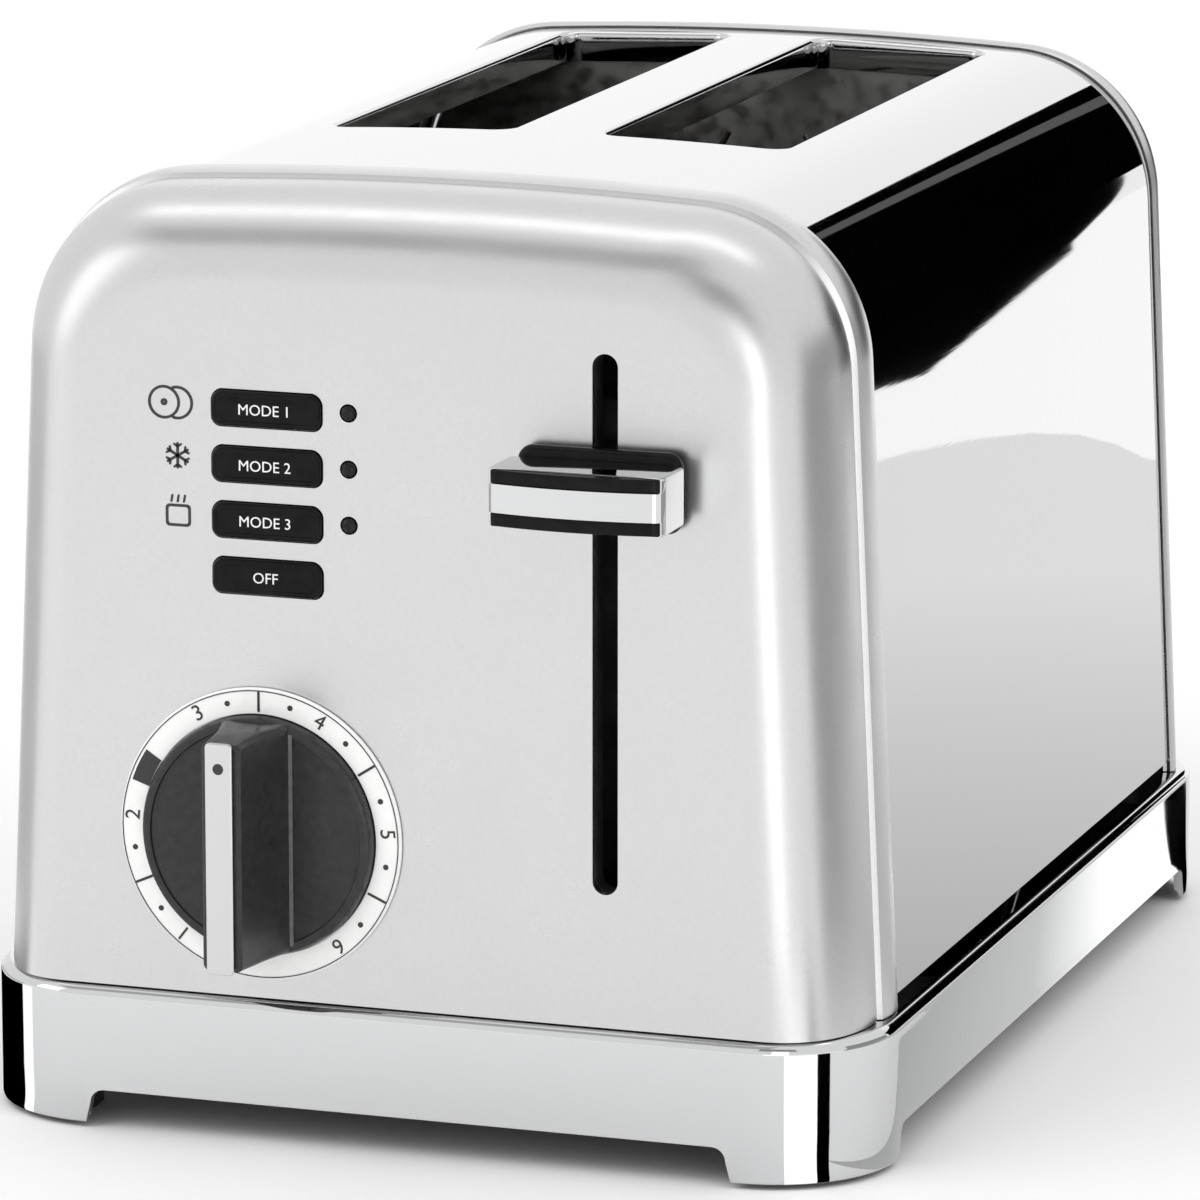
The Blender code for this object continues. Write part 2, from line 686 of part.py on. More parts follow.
def panel_rings(seam_y, groove_y, face_y, rounding, steps):
    """Return an end panel's rings from its seam with the shell out to its face."""
    bead = []
    for step in range(4):
        angle = math.pi * step / 3
        bead.append((-BEAD_PROUD * math.sin(angle), seam_y + (groove_y - seam_y) * step / 3))
    curve = []
    for step in range(steps + 1):
        angle = math.radians(90) * step / steps
        curve.append((GAP + rounding * (1 - math.cos(angle)),
                      groove_y + (face_y - groove_y) * math.sin(angle)))
    return [arch_ring(inset, y, PANEL_BOTTOM_Z) for inset, y in bead + curve[1:]]


def make_front_panel():
    """Front panel: cast face with a rounded edge, a bead and the control openings."""
    rings = panel_rings(FRONT_SEAM_Y, FRONT_GROOVE_Y, FRONT_FACE_Y, FRONT_ROUND, 6)
    mesh = loft_mesh(rings[::-1], closed=False, cap_first=True)
    panel = add_part("front_panel", mesh, "satin_metal", (0, 0, 0))
    solidify(panel, PANEL_WALL)
    window = rounded_rectangle(BUTTON_WIDTH + 2 * GAP, BUTTON_HEIGHT + 2 * GAP, BUTTON_CORNER_R)
    for z in button_heights():
        mesh = plate_mesh([window], TRIM)
        combine(panel, add_cutter(mesh, (CONTROL_X, FRONT_FACE_Y, z), FACE_XZ))
    for z in button_heights()[:3]:
        mesh = cylinder_mesh(LIGHT_RADIUS + GAP, TRIM, 12)
        combine(panel, add_cutter(mesh, (LIGHT_X, FRONT_FACE_Y, z), FACE_XZ))
    mesh = plate_mesh([lever_slot_outline(0)], TRIM)
    combine(panel, add_cutter(mesh, (LEVER_X, FRONT_FACE_Y, 0), FACE_XZ))
    mesh = cylinder_mesh(DIAL_SHAFT_R + DIAL_SHAFT_ROOM, TRIM)
    combine(panel, add_cutter(mesh, (DIAL_X, FRONT_FACE_Y, DIAL_Z), FACE_XZ))


def lever_slot_outline(margin):
    """Return the lever's slot with round ends, round x = 0, widened by a margin."""
    width = LEVER_SLOT_WIDTH + 2 * margin
    height = LEVER_SLOT_HIGH_Z - LEVER_SLOT_LOW_Z + 2 * margin
    centre = (0, (LEVER_SLOT_HIGH_Z + LEVER_SLOT_LOW_Z) / 2)
    return rounded_rectangle(width, height, width / 2 - GAP / 10, centre, 4)


def make_rear_panel():
    """Rear panel: the same section, with air slots and the cord gland's hole."""
    rings = panel_rings(REAR_SEAM_Y, REAR_GROOVE_Y, REAR_FACE_Y, REAR_ROUND, 5)
    mesh = loft_mesh(rings, closed=False, cap_last=True)
    panel = add_part("rear_panel", mesh, "satin_metal", (0, 0, 0))
    solidify(panel, PANEL_WALL)
    vent = rounded_rectangle(*PANEL_VENT, PANEL_VENT[1] / 2 - GAP / 3)
    for row in range(PANEL_VENT_ROWS):
        for side in (-1, 1):
            centre = (side * PANEL_VENT_X, REAR_FACE_Y, PANEL_VENT_Z + PANEL_VENT_PITCH * row)
            combine(panel, add_cutter(plate_mesh([vent], TRIM), centre, FACE_XZ))
    mesh = cylinder_mesh(GLAND_RADIUS + GAP, TRIM)
    combine(panel, add_cutter(mesh, (GLAND_X, REAR_FACE_Y, GLAND_Z), FACE_XZ))
    for side in (-1, 1):
        mesh = cylinder_mesh(SCREW_SHANK_R + GAP, TRIM, 12)
        combine(panel, add_cutter(mesh, (side * REAR_SCREW_X, REAR_FACE_Y, REAR_SCREW_Z), FACE_XZ))


def make_rear_fittings():
    """Cord gland and the two screws that hold the rear panel."""
    behind = REAR_FACE_Y - PANEL_WALL - GAP
    flange_top = REAR_FACE_Y + GAP + GLAND_FLANGE_DEPTH
    profile = [
        (GLAND_BORE_R, flange_top),
        (GLAND_FLANGE_R - GLAND_CHAMFER, flange_top),
        (GLAND_FLANGE_R, flange_top - GLAND_CHAMFER),
        (GLAND_FLANGE_R, REAR_FACE_Y + GAP),
        (GLAND_RADIUS, REAR_FACE_Y + GAP),
        (GLAND_RADIUS, behind - GLAND_REACH),
        (GLAND_BORE_R, behind - GLAND_REACH),
    ]
    profile = [(radius, height - REAR_FACE_Y) for radius, height in profile]
    add_part("cord_gland", turned_mesh(profile), "black_rubber",
             (GLAND_X, REAR_FACE_Y, GLAND_Z), TURN_TO_REAR)
    screw = screw_mesh()
    for name, side in (("left", -1), ("right", 1)):
        add_part("rear_screw_" + name, screw, "steel_plated",
                 (side * REAR_SCREW_X, REAR_FACE_Y + GAP, REAR_SCREW_Z), TURN_TO_REAR)


# ---------------------------------------------------------------- toasting chamber

def bulkhead_outline():
    """Return a bulkhead's edge: the body's outline inside the shell."""
    inset = SHELL_WALL + BULKHEAD_MARGIN
    return arch_outline(inset, CHAMBER_FLOOR_Z, 5, 4)


def make_bulkheads():
    """Two steel bulkheads, with slots for the carriage in the front one."""
    low_z = RACK_Z - LIFT_DOWN - RACK_PASS_END
    high_z = RACK_TOP_Z + LIFT_UP + RACK_PASS_END
    half = RACK_WIDTH / 2 + RACK_PASS_SIDE
    slots = [rectangle(side * SLOT_X - half, low_z, side * SLOT_X + half, high_z)
             for side in (-1, 1)]
    front_y = FRONT_BULKHEAD_Y + BULKHEAD_THICKNESS / 2
    front = add_part("front_bulkhead", plate_mesh([bulkhead_outline()] + slots, BULKHEAD_THICKNESS),
                     "steel_plated", (0, front_y, 0), FACE_XZ)
    shelf_low = (ROD_XS[0] - SHELF_END, ROD_Y - SHELF_AHEAD, ROD_SHELF_Z)
    shelf_root_y = FRONT_BULKHEAD_Y + BULKHEAD_THICKNESS * SHELF_ROOT
    shelf_high = (ROD_XS[1] + SHELF_END, shelf_root_y, ROD_SHELF_Z + BULKHEAD_THICKNESS)
    combine(front, box_cutter(shelf_low, shelf_high), 'UNION', 'MANIFOLD')
    for x in ROD_XS:
        bore = cylinder_mesh(ROD_RADIUS + GAP, TRIM)
        combine(front, add_cutter(bore, (x, ROD_Y, ROD_SHELF_Z)))
    rear_y = REAR_BULKHEAD_Y + BULKHEAD_THICKNESS / 2
    add_part("rear_bulkhead", plate_mesh([bulkhead_outline()], BULKHEAD_THICKNESS),
             "steel_plated", (0, rear_y, 0), FACE_XZ)


def serpentine(length, height):
    """Return a ribbon's closed outline in YZ: level runs joined at alternate ends."""
    pitch = height / (WIRE_RUNS - 1)
    half = WIRE_RIBBON / 2
    middle_line = []
    for run in range(WIRE_RUNS):
        ends = (0, length) if run % 2 == 0 else (length, 0)
        middle_line += [(end, pitch * run) for end in ends]
    left = []
    right = []
    for index, (y, z) in enumerate(middle_line):
        before = middle_line[index - 1] if index else None
        after = middle_line[index + 1] if index + 1 < len(middle_line) else None
        turn_y = 0.0
        turn_z = 0.0
        for other, sign in ((before, 1), (after, -1)):
            if other is None:
                continue
            step_y = (y - other[0]) * sign
            step_z = (z - other[1]) * sign
            size = math.hypot(step_y, step_z)
            turn_y -= step_z / size * half
            turn_z += step_y / size * half
        left.append((y + turn_y, z + turn_z))
        right.append((y - turn_y, z - turn_z))
    return left + right[::-1]


def make_heaters():
    """Three mica boards with a resistance ribbon on each face that meets bread."""
    length = CHAMBER_REAR_Y - CHAMBER_FRONT_Y
    low_y = CHAMBER_FRONT_Y
    boards = (("left", -OUTER_BOARD_X), ("centre", 0.0), ("right", OUTER_BOARD_X))
    for name, x in boards:
        low = (x - BOARD_THICKNESS / 2, low_y, BOARD_BOTTOM_Z)
        high = (x + BOARD_THICKNESS / 2, low_y + length, BOARD_BOTTOM_Z + BOARD_HEIGHT)
        box_part("heater_board_" + name, low, high, "mica")
    path = serpentine(length - 2 * WIRE_MARGIN, BOARD_HEIGHT - 2 * WIRE_MARGIN)
    ribbon = plate_mesh([path], WIRE_THICKNESS)
    offset = BOARD_THICKNESS / 2 + GAP + WIRE_THICKNESS / 2
    faces = (("left", -OUTER_BOARD_X + offset), ("centre_left", -offset),
             ("centre_right", offset), ("right", OUTER_BOARD_X - offset))
    for name, x in faces:
        add_part("heating_ribbon_" + name, ribbon, "heating_alloy",
                 (x, low_y + WIRE_MARGIN, BOARD_BOTTOM_Z + WIRE_MARGIN), FACE_YZ)


def make_reflectors():
    """Bright sheets behind the two outer heater boards."""
    for name, side in (("left", -1), ("right", 1)):
        low = (side * REFLECTOR_X - REFLECTOR_THICKNESS / 2, CHAMBER_FRONT_Y, BOARD_BOTTOM_Z)
        high = (side * REFLECTOR_X + REFLECTOR_THICKNESS / 2, CHAMBER_REAR_Y,
                BOARD_BOTTOM_Z + BOARD_HEIGHT)
        box_part("reflector_" + name, low, high, "steel_polished")


def make_guides():
    """Four bread guides: stamped grids that close on the bread as the carriage sinks."""
    length = CHAMBER_REAR_Y - CHAMBER_FRONT_Y - 4 * GAP
    window = (length - GUIDE_BAR) / GUIDE_WINDOWS - GUIDE_BAR
    outlines = [rectangle(0, 0, length, GUIDE_HEIGHT)]
    for column in range(GUIDE_WINDOWS):
        y = GUIDE_BAR + column * (window + GUIDE_BAR)
        outlines.append(rectangle(y, GUIDE_BAR, y + window, GUIDE_HEIGHT - GUIDE_BAR))
    grid = plate_mesh(outlines, GUIDE_THICKNESS)
    reach = SLOT_WIDTH / 2 - GUIDE_CLEARANCE
    places = (("left_outer", -SLOT_X - reach), ("left_inner", -SLOT_X + reach),
              ("right_inner", SLOT_X - reach), ("right_outer", SLOT_X + reach))
    for name, x in places:
        add_part("bread_guide_" + name, grid, "steel_dark",
                 (x, CHAMBER_FRONT_Y + 2 * GAP, GUIDE_BOTTOM_Z), FACE_YZ)


# ---------------------------------------------------------------- carriage and lever

def make_racks():
    """Two bread racks: perforated strips that lift the bread."""
    low_y = BRACKET_FRONT_Y + BRACKET_SHEET + GAP
    high_y = REAR_BULKHEAD_Y - RACK_END_GAP
    outlines = [rectangle(-RACK_WIDTH / 2, low_y, RACK_WIDTH / 2, high_y)]
    pitch = (high_y - CHAMBER_FRONT_Y) / RACK_HOLES
    half = RACK_WIDTH / 2 - RACK_RAIL
    for index in range(RACK_HOLES):
        y = CHAMBER_FRONT_Y + index * pitch
        outlines.append(rectangle(-half, y + RACK_RAIL, half, y + pitch - RACK_RAIL))
    strip = plate_mesh(outlines, RACK_THICKNESS)
    for name, side in (("left", -1), ("right", 1)):
        add_part("bread_rack_" + name, strip, "steel_dark",
                 (side * SLOT_X, 0, RACK_Z + RACK_THICKNESS / 2), group=CARRIAGE)


def make_bracket():
    """Carriage bracket: an angle that slides on the two guide rods."""
    plate_z = RACK_TOP_Z + GAP
    section = [
        (BRACKET_FRONT_Y, RACK_Z - BRACKET_DROP),
        (BRACKET_FRONT_Y + BRACKET_SHEET, RACK_Z - BRACKET_DROP),
        (BRACKET_FRONT_Y + BRACKET_SHEET, plate_z),
        (BRACKET_REAR_Y, plate_z),
        (BRACKET_REAR_Y, plate_z + BRACKET_SHEET),
        (BRACKET_FRONT_Y + BRACKET_SHEET, plate_z + BRACKET_SHEET),
        (BRACKET_FRONT_Y + BRACKET_SHEET, BRACKET_TOP_Z),
        (BRACKET_FRONT_Y, BRACKET_TOP_Z),
    ]
    mesh = plate_mesh([section], BRACKET_RIGHT_X - BRACKET_LEFT_X)
    centre_x = (BRACKET_LEFT_X + BRACKET_RIGHT_X) / 2
    bracket = add_part("carriage_bracket", mesh, "steel_plated", (centre_x, 0, 0), FACE_YZ, CARRIAGE)
    for x in ROD_XS:
        bore = cylinder_mesh(ROD_RADIUS + GAP, TRIM)
        combine(bracket, add_cutter(bore, (x, ROD_Y, plate_z)))


def make_rods_and_spring():
    """Guide rods and the return spring that pulls the carriage up."""
    low_z = PAN_TOP_Z + GAP
    for name, x in zip(("left", "right"), ROD_XS):
        mesh = cylinder_mesh(ROD_RADIUS, ROD_TOP_Z - low_z, 16)
        add_part("guide_rod_" + name, mesh, "steel_plated", (x, ROD_Y, (low_z + ROD_TOP_Z) / 2))
    start_z = RACK_TOP_Z + 2 * GAP + BRACKET_SHEET + SPRING_WIRE_R
    end_z = ROD_SHELF_Z - GAP - SPRING_WIRE_R
    points = []
    count = SPRING_TURNS * SPRING_STEPS
    for index in range(count + 1):
        angle = 2 * math.pi * index / SPRING_STEPS
        points.append((SPRING_RADIUS * math.cos(angle), SPRING_RADIUS * math.sin(angle),
                       (end_z - start_z) * index / count))
    mesh = wire_mesh(points, SPRING_WIRE_R)
    add_part("return_spring", mesh, "steel_plated", (SPRING_X, ROD_Y, start_z))


def wire_mesh(points, radius):
    """Return a round wire through points."""
    curve = bpy.data.curves.new("wire", 'CURVE')
    curve.dimensions = '3D'
    curve.bevel_depth = radius
    curve.bevel_resolution = 0
    curve.use_fill_caps = True
    spline = curve.splines.new('POLY')
    spline.points.add(len(points) - 1)
    for point, spot in zip(spline.points, points):
        point.co = (*spot, 1)
    holder = bpy.data.objects.new("wire", curve)
    CUTTERS.objects.link(holder)
    mesh = finished_mesh(holder)
    bpy.data.objects.remove(holder, do_unlink=True)
    return mesh


def make_lever():
    """Lever arm, knob, its two black inlays and the plate that covers the slot."""
    back_y = BRACKET_FRONT_Y - GAP
    tip_y = FRONT_FACE_Y - KNOB_BACK - ARM_IN_KNOB
    half = ARM_HEIGHT / 2
    section = [
        (tip_y, LEVER_Z - half),
        (back_y - ARM_TAPER, LEVER_Z - half),
        (back_y - ARM_FOOT, LEVER_Z - 2 * half),
        (back_y, LEVER_Z - 2 * half),
        (back_y, BRACKET_TOP_Z),
        (back_y - ARM_FOOT, BRACKET_TOP_Z),
        (back_y - ARM_TAPER, LEVER_Z + half),
        (tip_y, LEVER_Z + half),
    ]
    add_part("lever_arm", plate_mesh([section], ARM_THICKNESS), "steel_plated",
             (LEVER_X, 0, 0), FACE_YZ, CARRIAGE)
    pocket = ARM_THICKNESS / 2 + GAP
    pocket_z = half + GAP
    low = (LEVER_X - pocket, tip_y - GAP, LEVER_Z - pocket_z)
    high = (LEVER_X + pocket, FRONT_FACE_Y + TRIM, LEVER_Z + pocket_z)
    pocket_cutter = box_cutter(low, high)
    knob_y = (FRONT_FACE_Y - KNOB_FRONT, FRONT_FACE_Y - KNOB_BACK)
    outline = rounded_rectangle(KNOB_WIDTH, KNOB_HEIGHT, KNOB_CORNER_R, steps=2)
    knob = add_part("lever_knob", plate_mesh([outline], KNOB_FRONT - KNOB_BACK), "chrome",
                    (LEVER_X, sum(knob_y) / 2, LEVER_Z), FACE_XZ, CARRIAGE)
    combine(knob, pocket_cutter)
    inlay_half = INLAY_HEIGHT / 2
    inlay_z = KNOB_HEIGHT / 2 - inlay_half - GAP
    for name, sign in (("upper", 1), ("lower", -1)):
        z = LEVER_Z + sign * inlay_z
        seat_low = (LEVER_X - KNOB_WIDTH, knob_y[0] - TRIM, z - inlay_half - GAP)
        seat_high = (LEVER_X + KNOB_WIDTH, knob_y[0] + INLAY_DEPTH, z + inlay_half + TRIM)
        if sign < 0:
            seat_low = (seat_low[0], seat_low[1], z - inlay_half - TRIM)
            seat_high = (seat_high[0], seat_high[1], z + inlay_half + GAP)
        combine(knob, box_cutter(seat_low, seat_high))
        low = (LEVER_X - KNOB_WIDTH / 2, knob_y[0], z - inlay_half)
        high = (LEVER_X + KNOB_WIDTH / 2, knob_y[0] + INLAY_DEPTH - GAP, z + inlay_half)
        box_part("lever_inlay_" + name, low, high, "black_plastic", CARRIAGE)
    plate_y = (FRONT_FACE_Y - LEVER_PLATE_FRONT, FRONT_FACE_Y - LEVER_PLATE_BACK)
    plate_width = KNOB_WIDTH - 2 * LEVER_PLATE_INSET
    outline = rounded_rectangle(plate_width, LEVER_PLATE_HEIGHT, LEVER_PLATE_CORNER_R)
    plate = add_part("lever_plate", plate_mesh([outline], plate_y[1] - plate_y[0]),
                     "black_plastic", (LEVER_X, sum(plate_y) / 2, LEVER_Z),
                     FACE_XZ, CARRIAGE)
    combine(plate, pocket_cutter)


def make_slot_liner():
    """Black liner behind the lever's slot."""
    mesh = plate_mesh([lever_slot_outline(LINER_MARGIN), lever_slot_outline(0)], LINER_DEPTH)
    y = PANEL_BACK_Y + GAP + LINER_DEPTH / 2
    add_part("slot_liner", mesh, "black_plastic", (LEVER_X, y, 0), FACE_XZ)


def make_latch():
    """Latch: the magnet that holds the carriage down, and its armature."""
    floor_z = PAN_TOP_Z + GAP
    left = -MAGNET_WIDTH / 2
    right = MAGNET_WIDTH / 2
    core = [
        (left, floor_z),
        (right, floor_z),
        (right, MAGNET_TOP_Z),
        (right - MAGNET_LEG, MAGNET_TOP_Z),
        (right - MAGNET_LEG, floor_z + MAGNET_LEG),
        (left + MAGNET_LEG, floor_z + MAGNET_LEG),
        (left + MAGNET_LEG, MAGNET_TOP_Z),
        (left, MAGNET_TOP_Z),
    ]
    add_part("magnet_core", plate_mesh([core], MAGNET_DEPTH), "steel_dark",
             (MAGNET_X, ROD_Y, 0), FACE_XZ)
    hole = (MAGNET_LEG + 2 * GAP, MAGNET_DEPTH + 2 * GAP)
    outer = rounded_rectangle(hole[0] + 2 * COIL_WALL, hole[1] + 2 * COIL_WALL, COIL_WALL * 0.8)
    inner = rectangle(-hole[0] / 2, -hole[1] / 2, hole[0] / 2, hole[1] / 2)
    coil_z = floor_z + MAGNET_LEG + GAP + COIL_HEIGHT / 2
    add_part("magnet_coil", plate_mesh([outer, inner], COIL_HEIGHT), "copper",
             (MAGNET_X + right - MAGNET_LEG / 2, ROD_Y, coil_z))
    low = (MAGNET_X + left, ROD_Y - MAGNET_DEPTH / 2, ARMATURE_Z)
    high = (MAGNET_X + right, ROD_Y + MAGNET_DEPTH / 2, RACK_TOP_Z)
    box_part("latch_armature", low, high, "steel_plated", CARRIAGE)


# ---------------------------------------------------------------- controls

def button_heights():
    """Return the buttons' centre heights, top first."""
    return [BUTTON_TOP_Z - BUTTON_PITCH * index for index in range(len(BUTTON_NAMES))]


def make_buttons():
    """Four push buttons, each with a flange behind the panel and a stem to its switch."""
    flange_front = PANEL_BACK_Y + GAP
    cap_back = FRONT_FACE_Y - BUTTON_PROUD + BUTTON_CAP_DEPTH
    stem_back = BOARD_FACE_Y - SWITCH_DEPTH - BUTTON_TRAVEL - GAP
    cap_outline = rounded_rectangle(BUTTON_WIDTH, BUTTON_HEIGHT, BUTTON_CORNER_R)
    cap_mesh = plate_mesh([cap_outline], BUTTON_CAP_DEPTH)
    cap_y = cap_back - BUTTON_CAP_DEPTH / 2
    flange_half = (BUTTON_WIDTH / 2 + BUTTON_FLANGE, BUTTON_HEIGHT / 2 + BUTTON_FLANGE)
    for name, z in zip(BUTTON_NAMES, button_heights()):
        button = add_part(name, cap_mesh.copy(), "black_plastic", (CONTROL_X, cap_y, z), FACE_XZ)
        flange = box_cutter((CONTROL_X - flange_half[0], flange_front, z - flange_half[1]),
                            (CONTROL_X + flange_half[0], cap_back - GAP, z + flange_half[1]))
        combine(button, flange, 'UNION')
        stem_start = cap_back - BUTTON_STEM_ROOT
        stem = cylinder_mesh(BUTTON_STEM_R, stem_back - stem_start, 12)
        stem_y = (stem_start + stem_back) / 2
        combine(button, add_cutter(stem, (CONTROL_X, stem_y, z), FACE_XZ), 'UNION')


def make_lights():
    """Three indicator lights beside the upper buttons."""
    front = LIGHT_PROUD
    back = FRONT_FACE_Y - BOARD_FACE_Y + GAP
    profile = [
        (0, front),
        (LIGHT_RADIUS * 0.7, front * 0.7),
        (LIGHT_RADIUS, 0),
        (LIGHT_RADIUS, back),
        (0, back),
    ]
    mesh = turned_mesh(profile, 12)
    for name, z in zip(("bagel", "defrost", "reheat"), button_heights()):
        add_part("light_" + name, mesh, "smoked_lens", (LIGHT_X, FRONT_FACE_Y, z), TURN_TO_FRONT)


def make_control_board():
    """Control board behind the buttons and the dial, with a switch for each button."""
    low = (PCB_LOW[0], BOARD_FACE_Y, PCB_LOW[1])
    high = (PCB_HIGH[0], BOARD_FACE_Y + PCB_THICKNESS, PCB_HIGH[1])
    board = box_part("control_board", low, high, "circuit_green")
    half = SWITCH_SIZE / 2
    for z in button_heights():
        low = (CONTROL_X - half, BOARD_FACE_Y - SWITCH_DEPTH, z - half)
        high = (CONTROL_X + half, BOARD_FACE_Y + PCB_THICKNESS / 2, z + half)
        combine(board, box_cutter(low, high), 'UNION')


def make_dial():
    """Browning dial: fixed ring, knob with its grip and insert, shaft and control."""
    front = DIAL_RING_DEPTH + GAP
    inner = DIAL_KNOB_R + GAP
    profile = [
        (inner, front),
        (DIAL_RING_R - DIAL_RING_CHAMFER, front),
        (DIAL_RING_R, front - DIAL_RING_CHAMFER),
        (DIAL_RING_R, GAP),
        (inner, GAP),
    ]
    axis = (DIAL_X, FRONT_FACE_Y, DIAL_Z)
    add_part("dial_ring", turned_mesh(profile, 40), "white_print", axis, TURN_TO_FRONT)
    profile = [
        (0, DIAL_DISC_DEPTH),
        (DIAL_KNOB_R - DIAL_KNOB_CHAMFER, DIAL_DISC_DEPTH),
        (DIAL_KNOB_R, DIAL_DISC_DEPTH - DIAL_KNOB_CHAMFER),
        (DIAL_KNOB_R, 2 * GAP),
        (0, 2 * GAP),
    ]
    knob = add_part("dial_knob", turned_mesh(profile, 40), "black_plastic", axis,
                    TURN_TO_FRONT, DIAL)
    root_y = FRONT_FACE_Y - DIAL_DISC_DEPTH / 2
    tip_y = FRONT_FACE_Y - DIAL_GRIP_TIP
    waist_y = FRONT_FACE_Y - DIAL_GRIP_WAIST
    section = [
        (-DIAL_GRIP_FOOT_HALF, root_y),
        (-DIAL_GRIP_HALF, waist_y),
        (-DIAL_GRIP_HALF, tip_y),
        (DIAL_GRIP_HALF, tip_y),
        (DIAL_GRIP_HALF, waist_y),
        (DIAL_GRIP_FOOT_HALF, root_y),
    ]
    length = 2 * math.sqrt(DIAL_KNOB_R ** 2 - DIAL_GRIP_FOOT_HALF ** 2)
    combine(knob, add_cutter(plate_mesh([section], length), (DIAL_X, 0, DIAL_Z)), 'UNION')
    bore_end = FRONT_FACE_Y - DIAL_BORE_DEPTH
    shaft_end = BOARD_FACE_Y - GAP - POT_SHAFT_OVERLAP
    bore = cylinder_mesh(DIAL_SHAFT_R + GAP, TRIM - bore_end + FRONT_FACE_Y, 16)
    bore_y = (bore_end + FRONT_FACE_Y + TRIM) / 2
    combine(knob, add_cutter(bore, (DIAL_X, bore_y, DIAL_Z), FACE_XZ))
    half = length / 2
    low = (DIAL_X - DIAL_INSERT_WIDTH / 2, tip_y - GAP - DIAL_INSERT_DEPTH, DIAL_Z - half)
    high = (DIAL_X + DIAL_INSERT_WIDTH / 2, tip_y - GAP, DIAL_Z + half)
    box_part("dial_insert", low, high, "chrome", DIAL)
    shaft_start = bore_end + GAP
    shaft = cylinder_mesh(DIAL_SHAFT_R, shaft_end - shaft_start, 16)
    add_part("dial_shaft", shaft, "steel_plated",
             (DIAL_X, (shaft_start + shaft_end) / 2, DIAL_Z), FACE_XZ, DIAL)
    pot_front = POT_DEPTH + GAP
    profile = [
        (DIAL_SHAFT_R + GAP, pot_front),
        (POT_RADIUS, pot_front),
        (POT_RADIUS, GAP),
        (0, GAP),
        (0, GAP + POT_FLOOR),
        (DIAL_SHAFT_R + GAP, GAP + POT_FLOOR),
    ]
    add_part("timer_control", turned_mesh(profile), "steel_plated",
             (DIAL_X, BOARD_FACE_Y, DIAL_Z), TURN_TO_FRONT)


# ---------------------------------------------------------------- crumb tray

def make_crumb_tray():
    """Crumb tray: a shallow box with a handle lip, drawn out at the rear."""
    half = TRAY_WIDTH / 2
    rear_y = BASE_DEPTH / 2
    top_z = TRAY_Z + TRAY_HEIGHT
    low = (-half, TRAY_FRONT_Y, TRAY_Z)
    high = (half, rear_y, top_z)
    tray = box_part("crumb_tray", low, high, "steel_plated", TRAY)
    hollow_low = (-half + TRAY_WALL, TRAY_FRONT_Y + TRAY_WALL, TRAY_Z + TRAY_WALL)
    hollow_high = (half - TRAY_WALL, rear_y - TRAY_HANDLE_THICKNESS, top_z + TRIM)
    combine(tray, box_cutter(hollow_low, hollow_high))
    lip_z = (TRAY_Z + top_z) / 2
    lip_half = TRAY_HANDLE_THICKNESS / 2
    lip_low = (-TRAY_HANDLE_WIDTH / 2, rear_y - TRAY_HANDLE_THICKNESS, lip_z - lip_half)
    lip_high = (TRAY_HANDLE_WIDTH / 2, rear_y + TRAY_HANDLE_PROUD, lip_z + lip_half)
    combine(tray, box_cutter(lip_low, lip_high), 'UNION')


# ---------------------------------------------------------------- assembly

clear_scene()
PARTS = new_collection("pop_up_toaster")
CUTTERS = new_collection("cutters")
TOASTER = new_empty("toaster", (0, ORIGIN_SHIFT_Y, 0))
CARRIAGE = new_empty("carriage", (LEVER_X, ROD_Y, LEVER_Z), TOASTER)
DIAL = new_empty("dial", (DIAL_X, FRONT_FACE_Y, DIAL_Z), TOASTER)
TRAY = new_empty("tray", (0, BASE_DEPTH / 2, TRAY_Z), TOASTER)

make_base()
make_pan()
make_feet()
make_shell()
make_front_panel()
make_rear_panel()
make_rear_fittings()
make_bulkheads()
make_heaters()
make_reflectors()
make_guides()
make_racks()
make_bracket()
make_rods_and_spring()
make_lever()
make_slot_liner()
make_latch()
make_buttons()
make_lights()
make_control_board()
make_dial()
make_crumb_tray()
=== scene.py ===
"""Looks of the pop-up toaster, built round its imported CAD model. Metres, +Z up, controls towards -Y."""
import json
import math

import bmesh
import bpy
from mathutils import Euler, Matrix, Vector


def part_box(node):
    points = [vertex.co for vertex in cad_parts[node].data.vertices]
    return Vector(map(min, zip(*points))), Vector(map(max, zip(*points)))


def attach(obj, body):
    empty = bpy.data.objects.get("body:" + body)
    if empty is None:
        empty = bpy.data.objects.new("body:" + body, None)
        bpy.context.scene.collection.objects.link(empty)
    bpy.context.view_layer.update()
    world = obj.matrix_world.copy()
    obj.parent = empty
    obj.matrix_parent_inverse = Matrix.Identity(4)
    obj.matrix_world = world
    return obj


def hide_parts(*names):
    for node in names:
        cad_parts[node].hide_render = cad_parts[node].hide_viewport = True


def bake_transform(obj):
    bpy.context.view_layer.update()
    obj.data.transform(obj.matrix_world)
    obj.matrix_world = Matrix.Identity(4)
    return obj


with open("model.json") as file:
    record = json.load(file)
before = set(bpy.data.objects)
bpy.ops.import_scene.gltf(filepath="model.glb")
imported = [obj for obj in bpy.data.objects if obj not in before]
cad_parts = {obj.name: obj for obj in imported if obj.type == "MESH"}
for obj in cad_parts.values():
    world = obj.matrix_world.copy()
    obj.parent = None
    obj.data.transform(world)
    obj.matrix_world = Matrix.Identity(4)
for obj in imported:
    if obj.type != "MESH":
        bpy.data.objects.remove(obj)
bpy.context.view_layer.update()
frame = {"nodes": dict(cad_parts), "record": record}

# ---- places read from the frame

